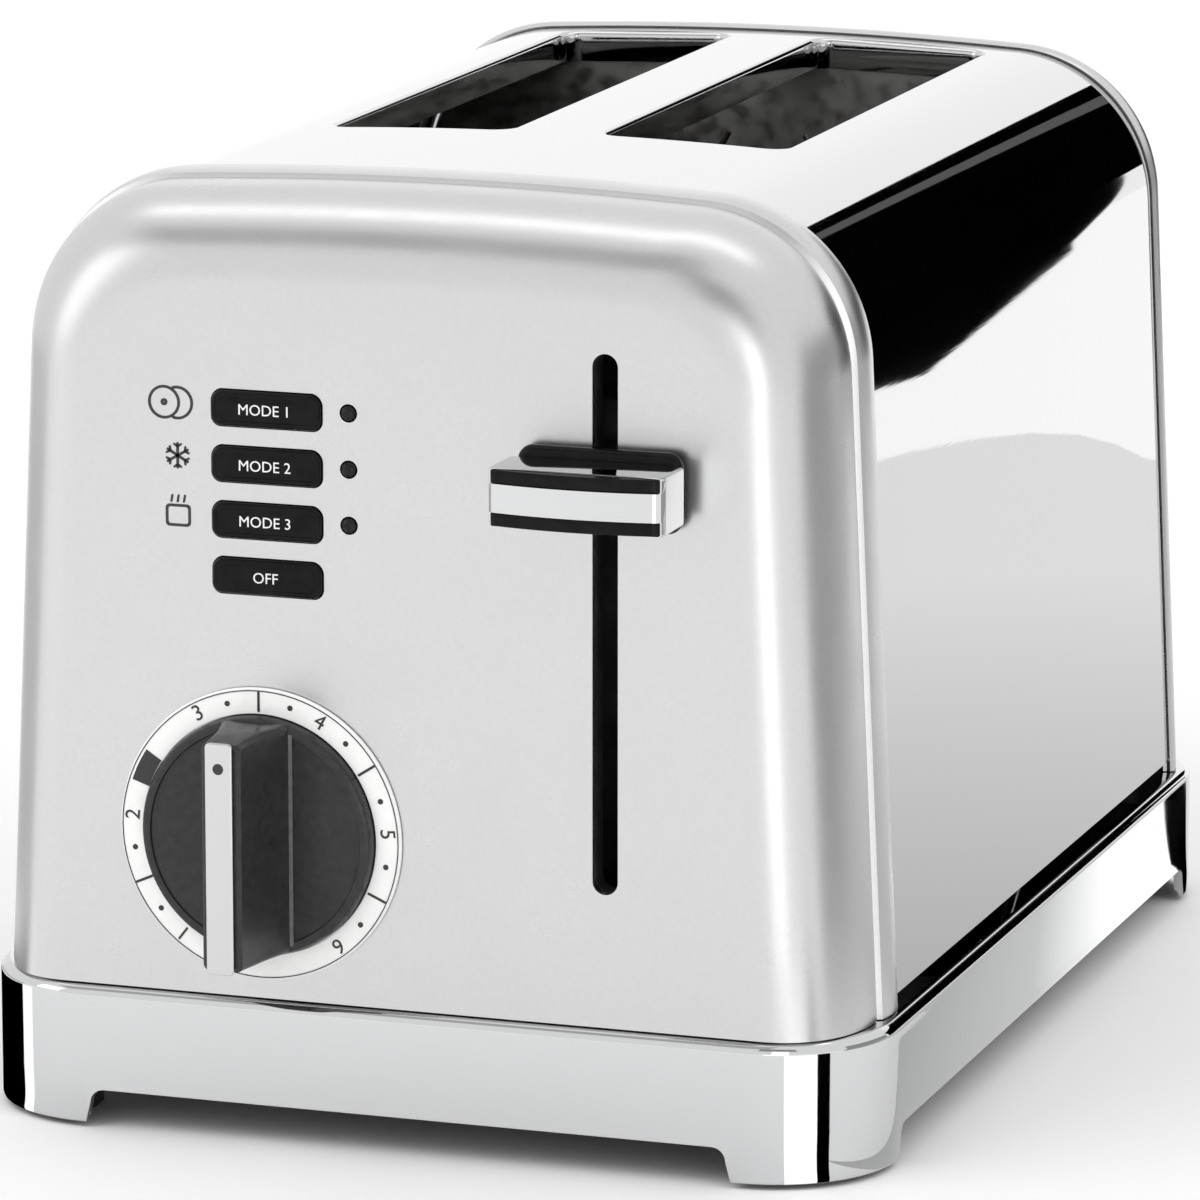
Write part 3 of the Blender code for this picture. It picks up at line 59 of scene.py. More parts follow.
BASE_LOW, BASE_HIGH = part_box("base_frame")
SHELL_LOW, SHELL_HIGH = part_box("outer_shell")
FRONT_LOW, FRONT_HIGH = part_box("front_panel")
REAR_LOW, REAR_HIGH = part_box("rear_panel")
MID_Y = (BASE_LOW.y + BASE_HIGH.y) / 2
FACE_Y = FRONT_LOW.y
TOP_Z = SHELL_HIGH.z

# ---- shape of the body

SIDE_LEAN = 0.047
CORNER_R = 0.032
CROWN_R = 0.900
BASE_TOP_Z = BASE_HIGH.z
HALF_WIDTH = 0.0889             # shell's half width at the level of the base's top
BEAD_PROUD = 0.0011
FRONT_BEAD = 0.0115
FRONT_ROUND = 0.017
REAR_BEAD = 0.005
REAR_ROUND = 0.013
GAP = 0.0003
SHELL_WALL = 0.0008
PANEL_WALL = 0.002
SLOT_WIDTH = 0.038
SLOT_LENGTH = 0.146
SLOT_BRIDGE = 0.0195
SLOT_FRONT_Y = MID_Y - 0.0445
SLOT_CORNER_R = 0.004
SLOT_LIP = 0.0011
SLOT_X = (SLOT_BRIDGE + SLOT_WIDTH) / 2
SCREW_HEAD = 0.0014
SPRING_WIRE_R = 0.0005
SPRING_TURNS = 9
SPRING_STEPS = 18
PRINT_DEPTH = 0.0001
SMOOTH = math.radians(32)           # edges below this angle are shaded smooth
FACE_XZ = Euler((math.pi / 2, 0, 0))
FACE_YZ = Euler((math.pi / 2, 0, math.pi / 2))


# ---- material helpers

def set_inputs(node, **values):
    """Set a node's inputs; an underscore stands for the space in an input's name."""
    for name, value in values.items():
        node.inputs[name.replace("_", " ")].default_value = value


class Shader:
    """A Principled material whose variation comes from nodes in object space."""

    def __init__(self, name, colour, roughness=0.4, metallic=0.0, **sockets):
        self.material = bpy.data.materials.new(name)
        self.material.use_nodes = True
        self.tree = self.material.node_tree
        self.shader = self.tree.nodes["Principled BSDF"]
        set_inputs(self.shader, Base_Color=(*colour, 1.0), Roughness=roughness, Metallic=metallic,
                   **sockets)
        self.place = self.node("ShaderNodeTexCoord").outputs["Object"]
        self.last_normal = None

    def node(self, kind, **settings):
        """Add a node with some of its settings."""
        made = self.tree.nodes.new(kind)
        for key, value in settings.items():
            setattr(made, key, value)
        return made

    def link(self, output, target):
        """Join an output to an input."""
        self.tree.links.new(output, target)

    def noise(self, scale, detail, stretch=(1, 1, 1)):
        """Return a noise pattern's value, stretched along the axes."""
        mapping = self.node("ShaderNodeMapping")
        set_inputs(mapping, Scale=stretch)
        pattern = self.node("ShaderNodeTexNoise")
        set_inputs(pattern, Scale=scale, Detail=detail, Roughness=0.55)
        self.link(self.place, mapping.inputs["Vector"])
        self.link(mapping.outputs["Vector"], pattern.inputs["Vector"])
        return pattern.outputs["Fac"]

    def vary_roughness(self, value, low, high):
        """Let roughness follow a pattern, over the middle of the pattern's range."""
        spread = self.node("ShaderNodeMapRange")
        set_inputs(spread, From_Min=0.35, From_Max=0.65, To_Min=low, To_Max=high)
        self.link(value, spread.inputs["Value"])
        self.link(spread.outputs["Result"], self.shader.inputs["Roughness"])

    def vary_colour(self, value, dark, light, start=0.3, end=0.7):
        """Let the colour follow a pattern between two colours."""
        ramp = self.node("ShaderNodeValToRGB")
        for element, place, colour in zip(ramp.color_ramp.elements, (start, end), (dark, light)):
            element.position = place
            element.color = (*colour, 1.0)
        self.link(value, ramp.inputs["Fac"])
        self.link(ramp.outputs["Color"], self.shader.inputs["Base Color"])

    def bump(self, value, strength, distance):
        """Add a bump from a pattern, on top of any bump before it."""
        bump = self.node("ShaderNodeBump")
        set_inputs(bump, Strength=strength, Distance=distance)
        self.link(value, bump.inputs["Height"])
        if self.last_normal:
            self.link(self.last_normal, bump.inputs["Normal"])
        self.last_normal = bump.outputs["Normal"]
        self.link(self.last_normal, self.shader.inputs["Normal"])


def grey(tone):
    """Return an even grey."""
    return tone, tone, tone


def grained(name, colour, roughness, metallic, tint, sheen, relief, **sockets):
    """Make a finish whose colour, roughness and bump each follow a noise."""
    look = Shader(name, colour, roughness, metallic, **sockets)
    look.vary_colour(look.noise(*tint[:2]), *tint[2:])
    look.vary_roughness(look.noise(*sheen[:2]), *sheen[2:])
    look.bump(look.noise(*relief[:2], *relief[4:]), *relief[2:4])
    return look.material


def chrome():
    """Mirror plating with faint cleaning haze."""
    look = Shader("chrome", (0.665, 0.67, 0.675), 0.05, 1.0)
    look.vary_roughness(look.noise(55, 6), 0.02, 0.05)
    look.bump(look.noise(900, 3), 0.02, 0.00005)
    return look.material


def polished_steel():
    """Mirror-polished stainless sheet with fine lengthwise polishing lines."""
    look = Shader("polished_steel", (0.655, 0.655, 0.66), 0.05, 1.0)
    look.vary_roughness(look.noise(40, 6, (1.0, 0.12, 1.0)), 0.012, 0.035)
    look.bump(look.noise(2200, 2, (1.0, 0.02, 1.0)), 0.03, 0.00003)
    look.bump(look.noise(9, 2), 0.03, 0.0003)
    return look.material


def mica():
    """Pressed mica: flakes of grey-brown, darkened a lot as painted shade for the dim inside of the bread
    slots.
    """
    look = Shader("mica", (0.50, 0.43, 0.33), 0.45, 0.0)
    flakes = look.node("ShaderNodeTexVoronoi")
    set_inputs(flakes, Scale=260)
    look.link(look.place, flakes.inputs["Vector"])
    # very dark browns: the flakes' own tone, darkened further as painted shade of the slots' insides
    look.vary_colour(flakes.outputs["Distance"], (0.035, 0.028, 0.020), (0.10, 0.08, 0.06), 0.1, 0.8)
    look.vary_roughness(look.noise(350, 4), 0.30, 0.60)
    look.bump(flakes.outputs["Distance"], 0.2, 0.0001)
    return look.material


def copper_winding():
    """Lacquered copper wire laid in turns."""
    look = Shader("copper_winding", (0.70, 0.30, 0.13), 0.3, 1.0)
    turns = look.node("ShaderNodeTexWave", bands_direction='Z')
    set_inputs(turns, Scale=520)
    look.link(look.place, turns.inputs["Vector"])
    look.vary_colour(look.noise(300, 4), (0.45, 0.17, 0.07), (0.80, 0.38, 0.18))
    look.vary_roughness(look.noise(500, 4), 0.22, 0.42)
    look.bump(turns.outputs["Fac"], 0.7, 0.0003)
    return look.material


def circuit_board():
    """Green solder mask with faint tracks."""
    look = Shader("circuit_board", (0.03, 0.19, 0.08), 0.4, 0.0)
    tracks = look.node("ShaderNodeTexBrick")
    set_inputs(tracks, Scale=160, Color1=(0.02, 0.15, 0.06, 1), Color2=(0.03, 0.19, 0.08, 1),
               Mortar=(0.05, 0.30, 0.13, 1))
    look.link(look.place, tracks.inputs["Vector"])
    look.link(tracks.outputs["Color"], look.shader.inputs["Base Color"])
    look.vary_roughness(look.noise(300, 4), 0.3, 0.5)
    look.bump(tracks.outputs["Fac"], 0.2, 0.0001)
    return look.material


def print_ink(name, colour):
    """Screen-printing ink."""
    light = [min(1.0, channel * 1.25 + 0.01) for channel in colour]
    return grained(name, colour, 0.45, 0.0, (1800, 3, colour, light), (900, 3, 0.38, 0.55),
                   (3000, 2, 0.08, 0.00003))


# Each grained finish: colour, roughness, metallic, then a noise's scale, detail and range for the
# colour and for the roughness, and a noise's scale, detail, strength and distance for the bump
GRAINED = {
    # fine satin metal, like a lacquered casting
    "satin_steel": (grey(0.66), 0.30, 1.0, (900, 3, (0.65, 0.65, 0.652), grey(0.672)),
                    (60, 5, 0.27, 0.33), (2600, 2, 0.03, 0.00003)),
    # zinc-plated sheet: dull, cloudy, with rolling lines from a stretched bump
    "plated_steel": ((0.42, 0.42, 0.41), 0.38, 1.0, (120, 6, (0.34, 0.34, 0.33), (0.50, 0.50, 0.48)),
                     (260, 5, 0.28, 0.52), (1500, 2, 0.08, 0.00005, (1.0, 0.05, 1.0))),
    # wire and sheet tinted by heat, and darkened further as painted shade for the dim inside of the bread
    # slots
    "dark_steel": ((0.30, 0.28, 0.26), 0.40, 1.0, (90, 6, (0.04, 0.036, 0.033), (0.20, 0.18, 0.16)),
                   (300, 4, 0.28, 0.55), (1200, 3, 0.12, 0.00008)),
    # flat grey that paints the light streak on the fillet at the foot of the knob's grip: a painted
    # highlight
    "painted_highlight_grey": (grey(0.15), 0.5, 0.0, (600, 4, grey(0.12), grey(0.18)),
                   (200, 4, 0.42, 0.58), (1700, 3, 0.08, 0.00006)),
    # textured black moulding
    "matte_black": (grey(0.014), 0.6, 0.0, (400, 4, grey(0.010), grey(0.024)),
                    (200, 4, 0.5, 0.75), (1700, 3, 0.3, 0.0001)),
    # soft black rubber with dust in its grain
    "rubber": (grey(0.03), 0.8, 0.0, (250, 6, grey(0.018), (0.055, 0.054, 0.052)),
               (500, 4, 0.65, 0.92), (1500, 4, 0.35, 0.00012)),
    # oxidised resistance ribbon
    "heating_alloy": ((0.20, 0.16, 0.13), 0.5, 1.0, (500, 5, (0.10, 0.08, 0.07), (0.34, 0.27, 0.21)),
                      (700, 4, 0.40, 0.65), (2000, 2, 0.1, 0.00004)),
}

# Each finish: its material, and the record's slot that it belongs to
LOOKS = {name: (grained(name, *numbers), name) for name, numbers in GRAINED.items()}
# the grey of the painted highlight uses the record's gloss black slot
LOOKS["painted_highlight_grey"] = (LOOKS["painted_highlight_grey"][0], "gloss_black")
LOOKS.update({
    "chrome": (chrome(), "chrome"),
    "polished_steel": (polished_steel(), "polished_steel"),
    "mica": (mica(), "mica"),
    "copper_winding": (copper_winding(), "copper_winding"),
    "circuit_board": (circuit_board(), "circuit_board"),
    "ink_black": (print_ink("ink_black", grey(0.02)), "gloss_black"),
    "ink_white": (print_ink("ink_white", (0.75, 0.75, 0.74)), "dial_white"),
    # gloss black moulding with a trace of orange peel
    "gloss_black": (grained("gloss_black", grey(0.006), 0.18, 0.0, (300, 4, grey(0.004), grey(0.009)),
                            (70, 5, 0.10, 0.24), (1300, 2, 0.05, 0.00006),
                            Specular_IOR_Level=0.12), "gloss_black"),
    # satin black moulding, a little lighter than the gloss one
    "satin_black": (grained("satin_black", grey(0.025), 0.34, 0.0, (500, 4, grey(0.019), grey(0.033)),
                            (120, 5, 0.26, 0.42), (2400, 2, 0.12, 0.00006),
                            Specular_IOR_Level=0.35), "gloss_black"),
    # smoked clear lens
    "smoked_lens": (grained("smoked_lens", (0.02, 0.018, 0.018), 0.06, 0.0,
                            (900, 3, (0.006, 0.005, 0.005), (0.02, 0.016, 0.016)),
                            (400, 3, 0.04, 0.10), (1200, 2, 0.03, 0.00004),
                            Specular_IOR_Level=0.2), "smoked_lens"),
    # white enamel of the dial's ring
    "dial_white": (grained("dial_white", (0.88, 0.88, 0.87), 0.22, 0.0,
                           (260, 4, (0.92, 0.92, 0.91), (0.97, 0.97, 0.96)),
                           (150, 5, 0.16, 0.28), (1500, 2, 0.04, 0.00004),
                           Coat_Weight=0.4, Coat_Roughness=0.08), "dial_white"),
})


# ---- mesh helpers

def linked(name, data):
    """Put an object for a mesh, a curve, a light or a camera into the scene."""
    item = bpy.data.objects.new(name, data)
    bpy.context.scene.collection.objects.link(item)
    return item


def middle(low, high):
    """Return the point midway between two corners."""
    return [(a + b) / 2 for a, b in zip(low, high)]


def polar(radius, angle, centre=(0.0, 0.0)):
    """Return the point at a distance and an angle from a centre."""
    return centre[0] + radius * math.cos(angle), centre[1] + radius * math.sin(angle)


def between(first, last, steps):
    """Return values from first to last in equal steps."""
    return [first + (last - first) * step / steps for step in range(steps + 1)]


def quarter(steps):
    """Return the angles of a quarter turn in equal steps."""
    return between(0, math.radians(90), steps)


def hole(radius, centre, toward, steps=32):
    """Return a round cutter that passes through a panel."""
    return turned([(0, 0.01), (radius, 0.01), (radius, -0.01), (0, -0.01)], centre, toward, steps, False)


def make_piece(name, mesh, look, body="housing", replaces=()):
    """Make a visible piece from a mesh with a finish, riding on a body if one is given."""
    piece = linked(name, mesh)
    material, slot = LOOKS[look]
    mesh.materials.clear()
    mesh.materials.append(material)
    if body:
        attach(piece, body)
    if replaces:
        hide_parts(*replaces)
    return piece


def to_mesh(work, name, angle=SMOOTH):
    """Turn a bmesh into a smooth-shaded mesh, sharp above an angle."""
    mesh = bpy.data.meshes.new(name)
    work.to_mesh(mesh)
    work.free()
    mesh.shade_smooth()
    mesh.set_sharp_from_angle(angle=angle)
    return mesh


def evaluated(item, angle=SMOOTH):
    """Return an object's mesh with its modifiers applied, and remove the object."""
    bpy.context.view_layer.update()
    graph = bpy.context.evaluated_depsgraph_get()
    mesh = bpy.data.meshes.new_from_object(item.evaluated_get(graph))
    mesh.transform(item.matrix_world)
    bpy.data.objects.remove(item, do_unlink=True)
    work = bmesh.new()
    work.from_mesh(mesh)
    bmesh.ops.remove_doubles(work, verts=work.verts, dist=1e-7)
    return to_mesh(work, mesh.name, angle)


def holder(mesh, location=(0, 0, 0), rotation=(0, 0, 0)):
    """Put a mesh on a temporary object."""
    item = linked("working", mesh)
    item.location = location
    item.rotation_euler = rotation
    return item


def loft(rings, closed=True, cap_first=False, cap_last=False):
    """Return a bmesh sheet through rings of points."""
    work = bmesh.new()
    rows = [[work.verts.new(point) for point in ring] for ring in rings]
    count = len(rows[0])
    for row, following in zip(rows, rows[1:]):
        for index in range(count if closed else count - 1):
            after = (index + 1) % count
            work.faces.new((row[index], row[after], following[after], following[index]))
    if cap_first:
        work.faces.new(rows[0][::-1])
    if cap_last:
        work.faces.new(rows[-1])
    return work


def rounded_rectangle(width, height, radius, centre=(0.0, 0.0), steps=8):
    """Return a rounded rectangle's points, anticlockwise from the right side."""
    points = []
    for turn, (sign_x, sign_y) in enumerate(((1, -1), (1, 1), (-1, 1), (-1, -1))):
        corner = (centre[0] + sign_x * (width / 2 - radius), centre[1] + sign_y * (height / 2 - radius))
        for step in range(steps + 1):
            points.append(polar(radius, math.radians(90) * (turn - 1 + step / steps), corner))
    return points


def prism(outlines, depth, rotation=(0, 0, 0), location=(0, 0, 0), bevel=0.0, resolution=2):
    """Return a mesh of flat outlines (an edge, then holes) extruded and placed."""
    curve = bpy.data.curves.new("outline", 'CURVE')
    curve.dimensions = '2D'
    curve.fill_mode = 'BOTH'
    curve.extrude = depth / 2 - bevel
    curve.bevel_depth = bevel
    curve.bevel_resolution = resolution
    curve.offset = -bevel
    for outline in outlines:
        spline = curve.splines.new('POLY')
        spline.points.add(len(outline) - 1)
        for point, (x, y) in zip(spline.points, outline):
            point.co = (x, y, 0, 1)
        spline.use_cyclic_u = True
    item = linked("outline", curve)
    item.rotation_euler = rotation
    item.location = location
    return evaluated(item)


def box_mesh(low, high, bevel=0.0, segments=3):
    """Return a box between two corners with rounded edges."""
    work = bmesh.new()
    bmesh.ops.create_cube(work, size=1.0)
    size = [b - a for a, b in zip(low, high)]
    bmesh.ops.scale(work, vec=size, verts=work.verts)
    bmesh.ops.translate(work, vec=middle(low, high), verts=work.verts)
    if bevel:
        bmesh.ops.bevel(work, geom=list(work.edges), offset=bevel, segments=segments,
                        profile=0.5, affect='EDGES')
    return to_mesh(work, "box")


def turned(profile, centre, toward, steps=64, closed=True):
    """Return a shape turned about an axis through a centre; profile is (radius, height)."""
    work = bmesh.new()
    rows = []
    for radius, height in profile:
        if radius < 1e-7:
            rows.append([work.verts.new((0, 0, height))])
        else:
            rows.append([work.verts.new((*polar(radius, 2 * math.pi * k / steps), height))
                         for k in range(steps)])
    following = rows[1:] + rows[:1] if closed else rows[1:]
    for upper, lower in zip(rows, following):
        if len(upper) == 1 and len(lower) == 1:
            continue
        for k in range(steps):
            after = (k + 1) % steps
            corners = [upper[0]] if len(upper) == 1 else [upper[k], upper[after]][::-1]
            corners += [lower[0]] if len(lower) == 1 else [lower[k], lower[after]]
            work.faces.new(corners)
    bmesh.ops.recalc_face_normals(work, faces=work.faces)
    turn = Vector((0, 0, 1)).rotation_difference(Vector(toward)).to_matrix().to_4x4()
    bmesh.ops.transform(work, matrix=Matrix.Translation(centre) @ turn, verts=work.verts)
    return to_mesh(work, "turned")


def boolean(mesh, tools, operation='DIFFERENCE', angle=SMOOTH):
    """Return a mesh cut by, or joined to, other meshes."""
    item = holder(mesh)
    helpers = [holder(tool) for tool in tools]
    for helper in helpers:
        modifier = item.modifiers.new("boolean", 'BOOLEAN')
        modifier.operation = operation
        modifier.solver = 'EXACT'
        modifier.object = helper
    result = evaluated(item, angle)
    for helper in helpers:
        bpy.data.objects.remove(helper, do_unlink=True)
    return result


def joined(meshes, name="joined"):
    """Return several meshes as one."""
    work = bmesh.new()
    for mesh in meshes:
        work.from_mesh(mesh)
    return to_mesh(work, name)


def sheet_to_solid(work, thickness, name="sheet", angle=SMOOTH):
    """Give a bmesh sheet its thickness on the inner side."""
    item = holder(to_mesh(work, name))
    solid = item.modifiers.new("solidify", 'SOLIDIFY')
    solid.thickness = thickness
    solid.offset = -1.0
    solid.use_even_offset = True
    return evaluated(item, angle)


def wire(points, radius, cyclic=False, resolution=3):
    """Return a round wire through points."""
    curve = bpy.data.curves.new("wire", 'CURVE')
    curve.dimensions = '3D'
    curve.bevel_depth = radius
    curve.bevel_resolution = resolution
    curve.use_fill_caps = True
    spline = curve.splines.new('POLY')
    spline.points.add(len(points) - 1)
    for point, place in zip(spline.points, points):
        point.co = (*place, 1)
    spline.use_cyclic_u = cyclic
    item = linked("wire", curve)
    return evaluated(item)


def text_mesh(words, size, location, spin=0.0):
    """Return lettering that faces the front, centred on a place."""
    curve = bpy.data.curves.new("lettering", 'FONT')
    curve.body = words
    curve.size = size
    curve.extrude = PRINT_DEPTH / 2
    curve.align_x = 'CENTER'
    curve.align_y = 'CENTER'
    curve.resolution_u = 3
    item = linked("lettering", curve)
    item.matrix_world = (Matrix.Translation(location) @ FACE_XZ.to_matrix().to_4x4()
                         @ Matrix.Rotation(spin, 4, 'Z'))
    return evaluated(item)


# ---- body outline

def arch(inset, bottom_z):
    """Return the body's outline in XZ, from its lower left over the top to its lower right."""
    corner_r = CORNER_R - max(inset, 0) * 0.5
    crown_r = CROWN_R - inset
    crown_z = TOP_Z - CROWN_R
    slope = math.hypot(1, SIDE_LEAN)
    side_x = HALF_WIDTH - inset * slope
    reach = crown_r - corner_r
    low, high = BASE_TOP_Z, TOP_Z
    for _ in range(60):
        centre_z = (low + high) / 2
        centre_x = side_x - SIDE_LEAN * (centre_z - BASE_TOP_Z) - corner_r * slope
        if math.hypot(centre_x, centre_z - crown_z) < reach:
            low = centre_z
        else:
            high = centre_z
    side_angle = math.atan(SIDE_LEAN)
    crown_angle = math.atan2(centre_z - crown_z, centre_x)
    right = [(side_x - SIDE_LEAN * (z - BASE_TOP_Z), z) for z in between(bottom_z, centre_z, 6)[:-1]]
    right += [polar(corner_r, angle, (centre_x, centre_z))
              for angle in between(side_angle, crown_angle, 26)]
    right += [polar(crown_r, angle, (0.0, crown_z)) for angle in between(crown_angle, math.pi / 2, 12)[1:]]
    left = [(-x, z) for x, z in right[:-1]]
    return left + right[::-1]


def arch_ring(inset, y, bottom_z):
    """Return the outline as points at one place along the toaster."""
    return [(x, y, z) for x, z in arch(inset, bottom_z)]


def crown_height(x):
    """Return the shell's height over its crown at a distance from the middle."""
    return TOP_Z - CROWN_R + math.sqrt(CROWN_R ** 2 - x ** 2)


# ---- body pieces

def make_shell():
    """Polished shell over the top, with a folded lip round each bread slot."""
    bottom = SHELL_LOW.z
    rings = [arch_ring(0, y, bottom) for y in between(SHELL_LOW.y, SHELL_HIGH.y, 12)]
    solid = sheet_to_solid(loft(rings, closed=False), SHELL_WALL)
    outline = rounded_rectangle(SLOT_WIDTH + 2 * SLOT_LIP, SLOT_LENGTH + 2 * SLOT_LIP,
                                SLOT_CORNER_R + SLOT_LIP, steps=10)
    centre_y = SLOT_FRONT_Y + SLOT_LENGTH / 2
    tools = [prism([outline], 0.04, location=(side * SLOT_X, centre_y, TOP_Z)) for side in (-1, 1)]
    make_piece("shell", boolean(solid, tools), "polished_steel", replaces=("outer_shell",))
    for name, side in (("left", -1), ("right", 1)):
        make_piece("slot_lip_" + name, slot_lip(side * SLOT_X, centre_y), "polished_steel")


def slot_lip(centre_x, centre_y):
    """Return the folded edge of a bread slot: over the corner and down inside."""
    depth = 0.0065
    wall = 0.0007
    profile = [(SLOT_LIP * (1 - math.sin(angle)), -SLOT_LIP * (1 - math.cos(angle)))
               for angle in quarter(6)]
    profile += [(0.0, -depth), (wall, -depth), (wall, -SLOT_LIP - wall), (SLOT_LIP, -SHELL_WALL)]
    rings = []
    for outward, drop in profile:
        outline = rounded_rectangle(SLOT_WIDTH + 2 * outward, SLOT_LENGTH + 2 * outward,
                                    SLOT_CORNER_R + outward, steps=10)
        rings.append([(centre_x + x, centre_y + y, crown_height(centre_x + x) + drop)
                      for x, y in outline])
    work = loft(rings + rings[:1])
    bmesh.ops.remove_doubles(work, verts=work.verts, dist=1e-7)
    bmesh.ops.recalc_face_normals(work, faces=work.faces)
    return to_mesh(work, "slot_lip", math.radians(50))


def edge_profile(seam_y, groove_y, face_y, rounding):
    """Return an end panel's (inset, y) profile: seam, bead, groove, then round to its face."""
    away = 1 if groove_y > seam_y else -1
    width = abs(groove_y - seam_y)
    points = [(0.0011, seam_y), (0.0004, seam_y + away * 0.0004)]
    for share in between(0, 1, 10):
        proud = BEAD_PROUD * math.sin(math.pi * (0.10 + 0.80 * share)) ** 0.8
        points.append((-proud, seam_y + away * width * (0.04 + 0.88 * share)))
    points += [(0.0006, seam_y + away * width * 0.965), (0.0013, seam_y + away * width * 0.985),
               (0.0013, groove_y), (0.0007, groove_y + away * 0.0003)]
    reach = abs(face_y - groove_y)
    for angle in quarter(22):
        inset = 0.0003 + rounding * (1 - math.cos(angle) ** 0.92)
        y = groove_y + away * (0.0006 + (reach - 0.0006) * math.sin(angle) ** 0.96)
        points.append((inset, y))
    return points


def stadium(width, low_z, high_z):
    """Return a slot with round ends, standing on its end, round x = 0."""
    centre = (0, (low_z + high_z) / 2)
    return rounded_rectangle(width, high_z - low_z, width / 2 - 1e-6, centre, 10)


def make_front_panel():
    """Satin front panel with its bead and its control openings."""
    profile = edge_profile(FRONT_HIGH.y, FRONT_HIGH.y - FRONT_BEAD, FACE_Y, FRONT_ROUND)
    rings = [arch_ring(inset, y, FRONT_LOW.z) for inset, y in profile]
    solid = sheet_to_solid(loft(rings[::-1], closed=False, cap_first=True), PANEL_WALL)
    tools = []
    for name in BUTTONS:
        x, _, z = middle(*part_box(name))
        outline = button_outline(BUTTON_WIDTH + 2 * GAP, BUTTON_HEIGHT + 2 * GAP)
        tools.append(prism([outline], 0.02, FACE_XZ, (x, FACE_Y, z)))
    for name in LIGHTS:
        x, _, z = middle(*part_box(name))
        tools.append(hole(0.0018, (x, FACE_Y, z), (0, -1, 0), 24))
    low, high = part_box("slot_liner")
    outline = stadium(LEVER_SLOT, low.z + 0.003, high.z - 0.003)
    tools.append(prism([outline], 0.02, FACE_XZ, (middle(low, high)[0], FACE_Y, 0)))
    x, _, z = middle(*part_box("dial_knob"))
    tools.append(hole(0.0045, (x, FACE_Y, z), (0, -1, 0)))
    make_piece("front_cover", boolean(solid, tools), "satin_steel", replaces=("front_panel",))


def make_rear_panel():
    """Satin rear panel with pressed air slots."""
    back = REAR_HIGH.y
    profile = edge_profile(REAR_LOW.y, REAR_LOW.y + REAR_BEAD, back, REAR_ROUND)
    rings = [arch_ring(inset, y, REAR_LOW.z) for inset, y in profile]
    solid = sheet_to_solid(loft(rings, closed=False, cap_last=True), PANEL_WALL)
    vent = rounded_rectangle(0.036, 0.003, 0.00149)
    tools = [prism([vent], 0.02, FACE_XZ, (side * 0.024, back, 0.086 + 0.008 * row))
             for row in range(6) for side in (-1, 1)]
    for name, radius, steps in (("cord_gland", 0.0055, 32), ("rear_screw_left", 0.0015, 16),
                                ("rear_screw_right", 0.0015, 16)):
        x, _, z = middle(*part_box(name))
        tools.append(hole(radius, (x, back, z), (0, 1, 0), steps))
    make_piece("rear_cover", boolean(solid, tools), "satin_steel", replaces=("rear_panel",))


# ---- base

BASE_WALL = 0.002
BASE_CORNER_R = 0.025
BASE_EDGE_R = 0.0022
BASE_LEDGE = 0.0115
FOOT_SPAN = 0.027
ARCH_Z = 0.008


def base_ring(inset, z, steps=20):
    """Return the base's plan outline at a height."""
    width = BASE_HIGH.x - BASE_LOW.x - 2 * inset
    depth = BASE_HIGH.y - BASE_LOW.y - 2 * inset
    points = rounded_rectangle(width, depth, BASE_CORNER_R - inset, (0, MID_Y), steps)
    return [(x, y, z) for x, y in points]


def arch_outline(span):
    """Return the opening under the base along one side: slanted ends, rounded corners."""
    slant = 0.0012
    half = span / 2
    radius = 0.0028
    below = -0.004
    corner = [polar(radius, angle, (half - radius, ARCH_Z - radius)) for angle in quarter(5)]
    return ([(-half - slant * 2, below)] + [(-x, z) for x, z in corner] + corner[::-1]
            + [(half + slant * 2, below)])


def make_base():
    """Chrome base with a rounded top edge, rolled lower edge and four corner feet."""
    hem = BASE_LOW.z
    rings = [base_ring(0.0007, hem), base_ring(0.0002, hem + 0.0003), base_ring(0, hem + 0.0008)]
    rings.append(base_ring(0, hem + 0.010))
    for angle in quarter(8):
        rings.append(base_ring(BASE_EDGE_R * (1 - math.cos(angle)),
                               BASE_TOP_Z - BASE_EDGE_R * (1 - math.sin(angle))))
    rings.append(base_ring(BASE_LEDGE, BASE_TOP_Z))
    solid = sheet_to_solid(loft(rings), BASE_WALL)
    width = BASE_HIGH.x - BASE_LOW.x
    depth = BASE_HIGH.y - BASE_LOW.y
    tools = [
        prism([arch_outline(width - 2 * FOOT_SPAN)], depth + 0.02, FACE_XZ, (0, MID_Y, 0)),
        prism([arch_outline(depth - 2 * FOOT_SPAN)], width + 0.02, FACE_YZ, (0, MID_Y, 0)),
    ]
    low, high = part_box("crumb_tray")
    margin = 0.0006
    tools.append(box_mesh((low.x - margin, BASE_HIGH.y - 0.01, low.z - margin),
                          (high.x + margin, BASE_HIGH.y + 0.01, high.z + margin)))
    make_piece("base", boolean(solid, tools), "chrome", replaces=("base_frame",))


# ---- controls

BUTTONS = ("button_bagel", "button_defrost", "button_reheat", "button_stop")
BUTTON_WORDS = ("MODE 1", "MODE 2", "MODE 3", "OFF")
LIGHTS = ("light_bagel", "light_defrost", "light_reheat")
BUTTON_WIDTH = 0.0224
BUTTON_HEIGHT = 0.0076
LEVER_SLOT = 0.0051


def button_outline(width, height, steps=8):
    """Return a button's outline: a rounded bar whose upper edge bows a little."""
    bow = height * 0.13
    points = rounded_rectangle(width, height - bow, height * 0.26, (0, -bow / 2), steps)
    return [(x, y + (bow * (1 - (2 * x / width) ** 2) if y > 0 else 0.0)) for x, y in points]


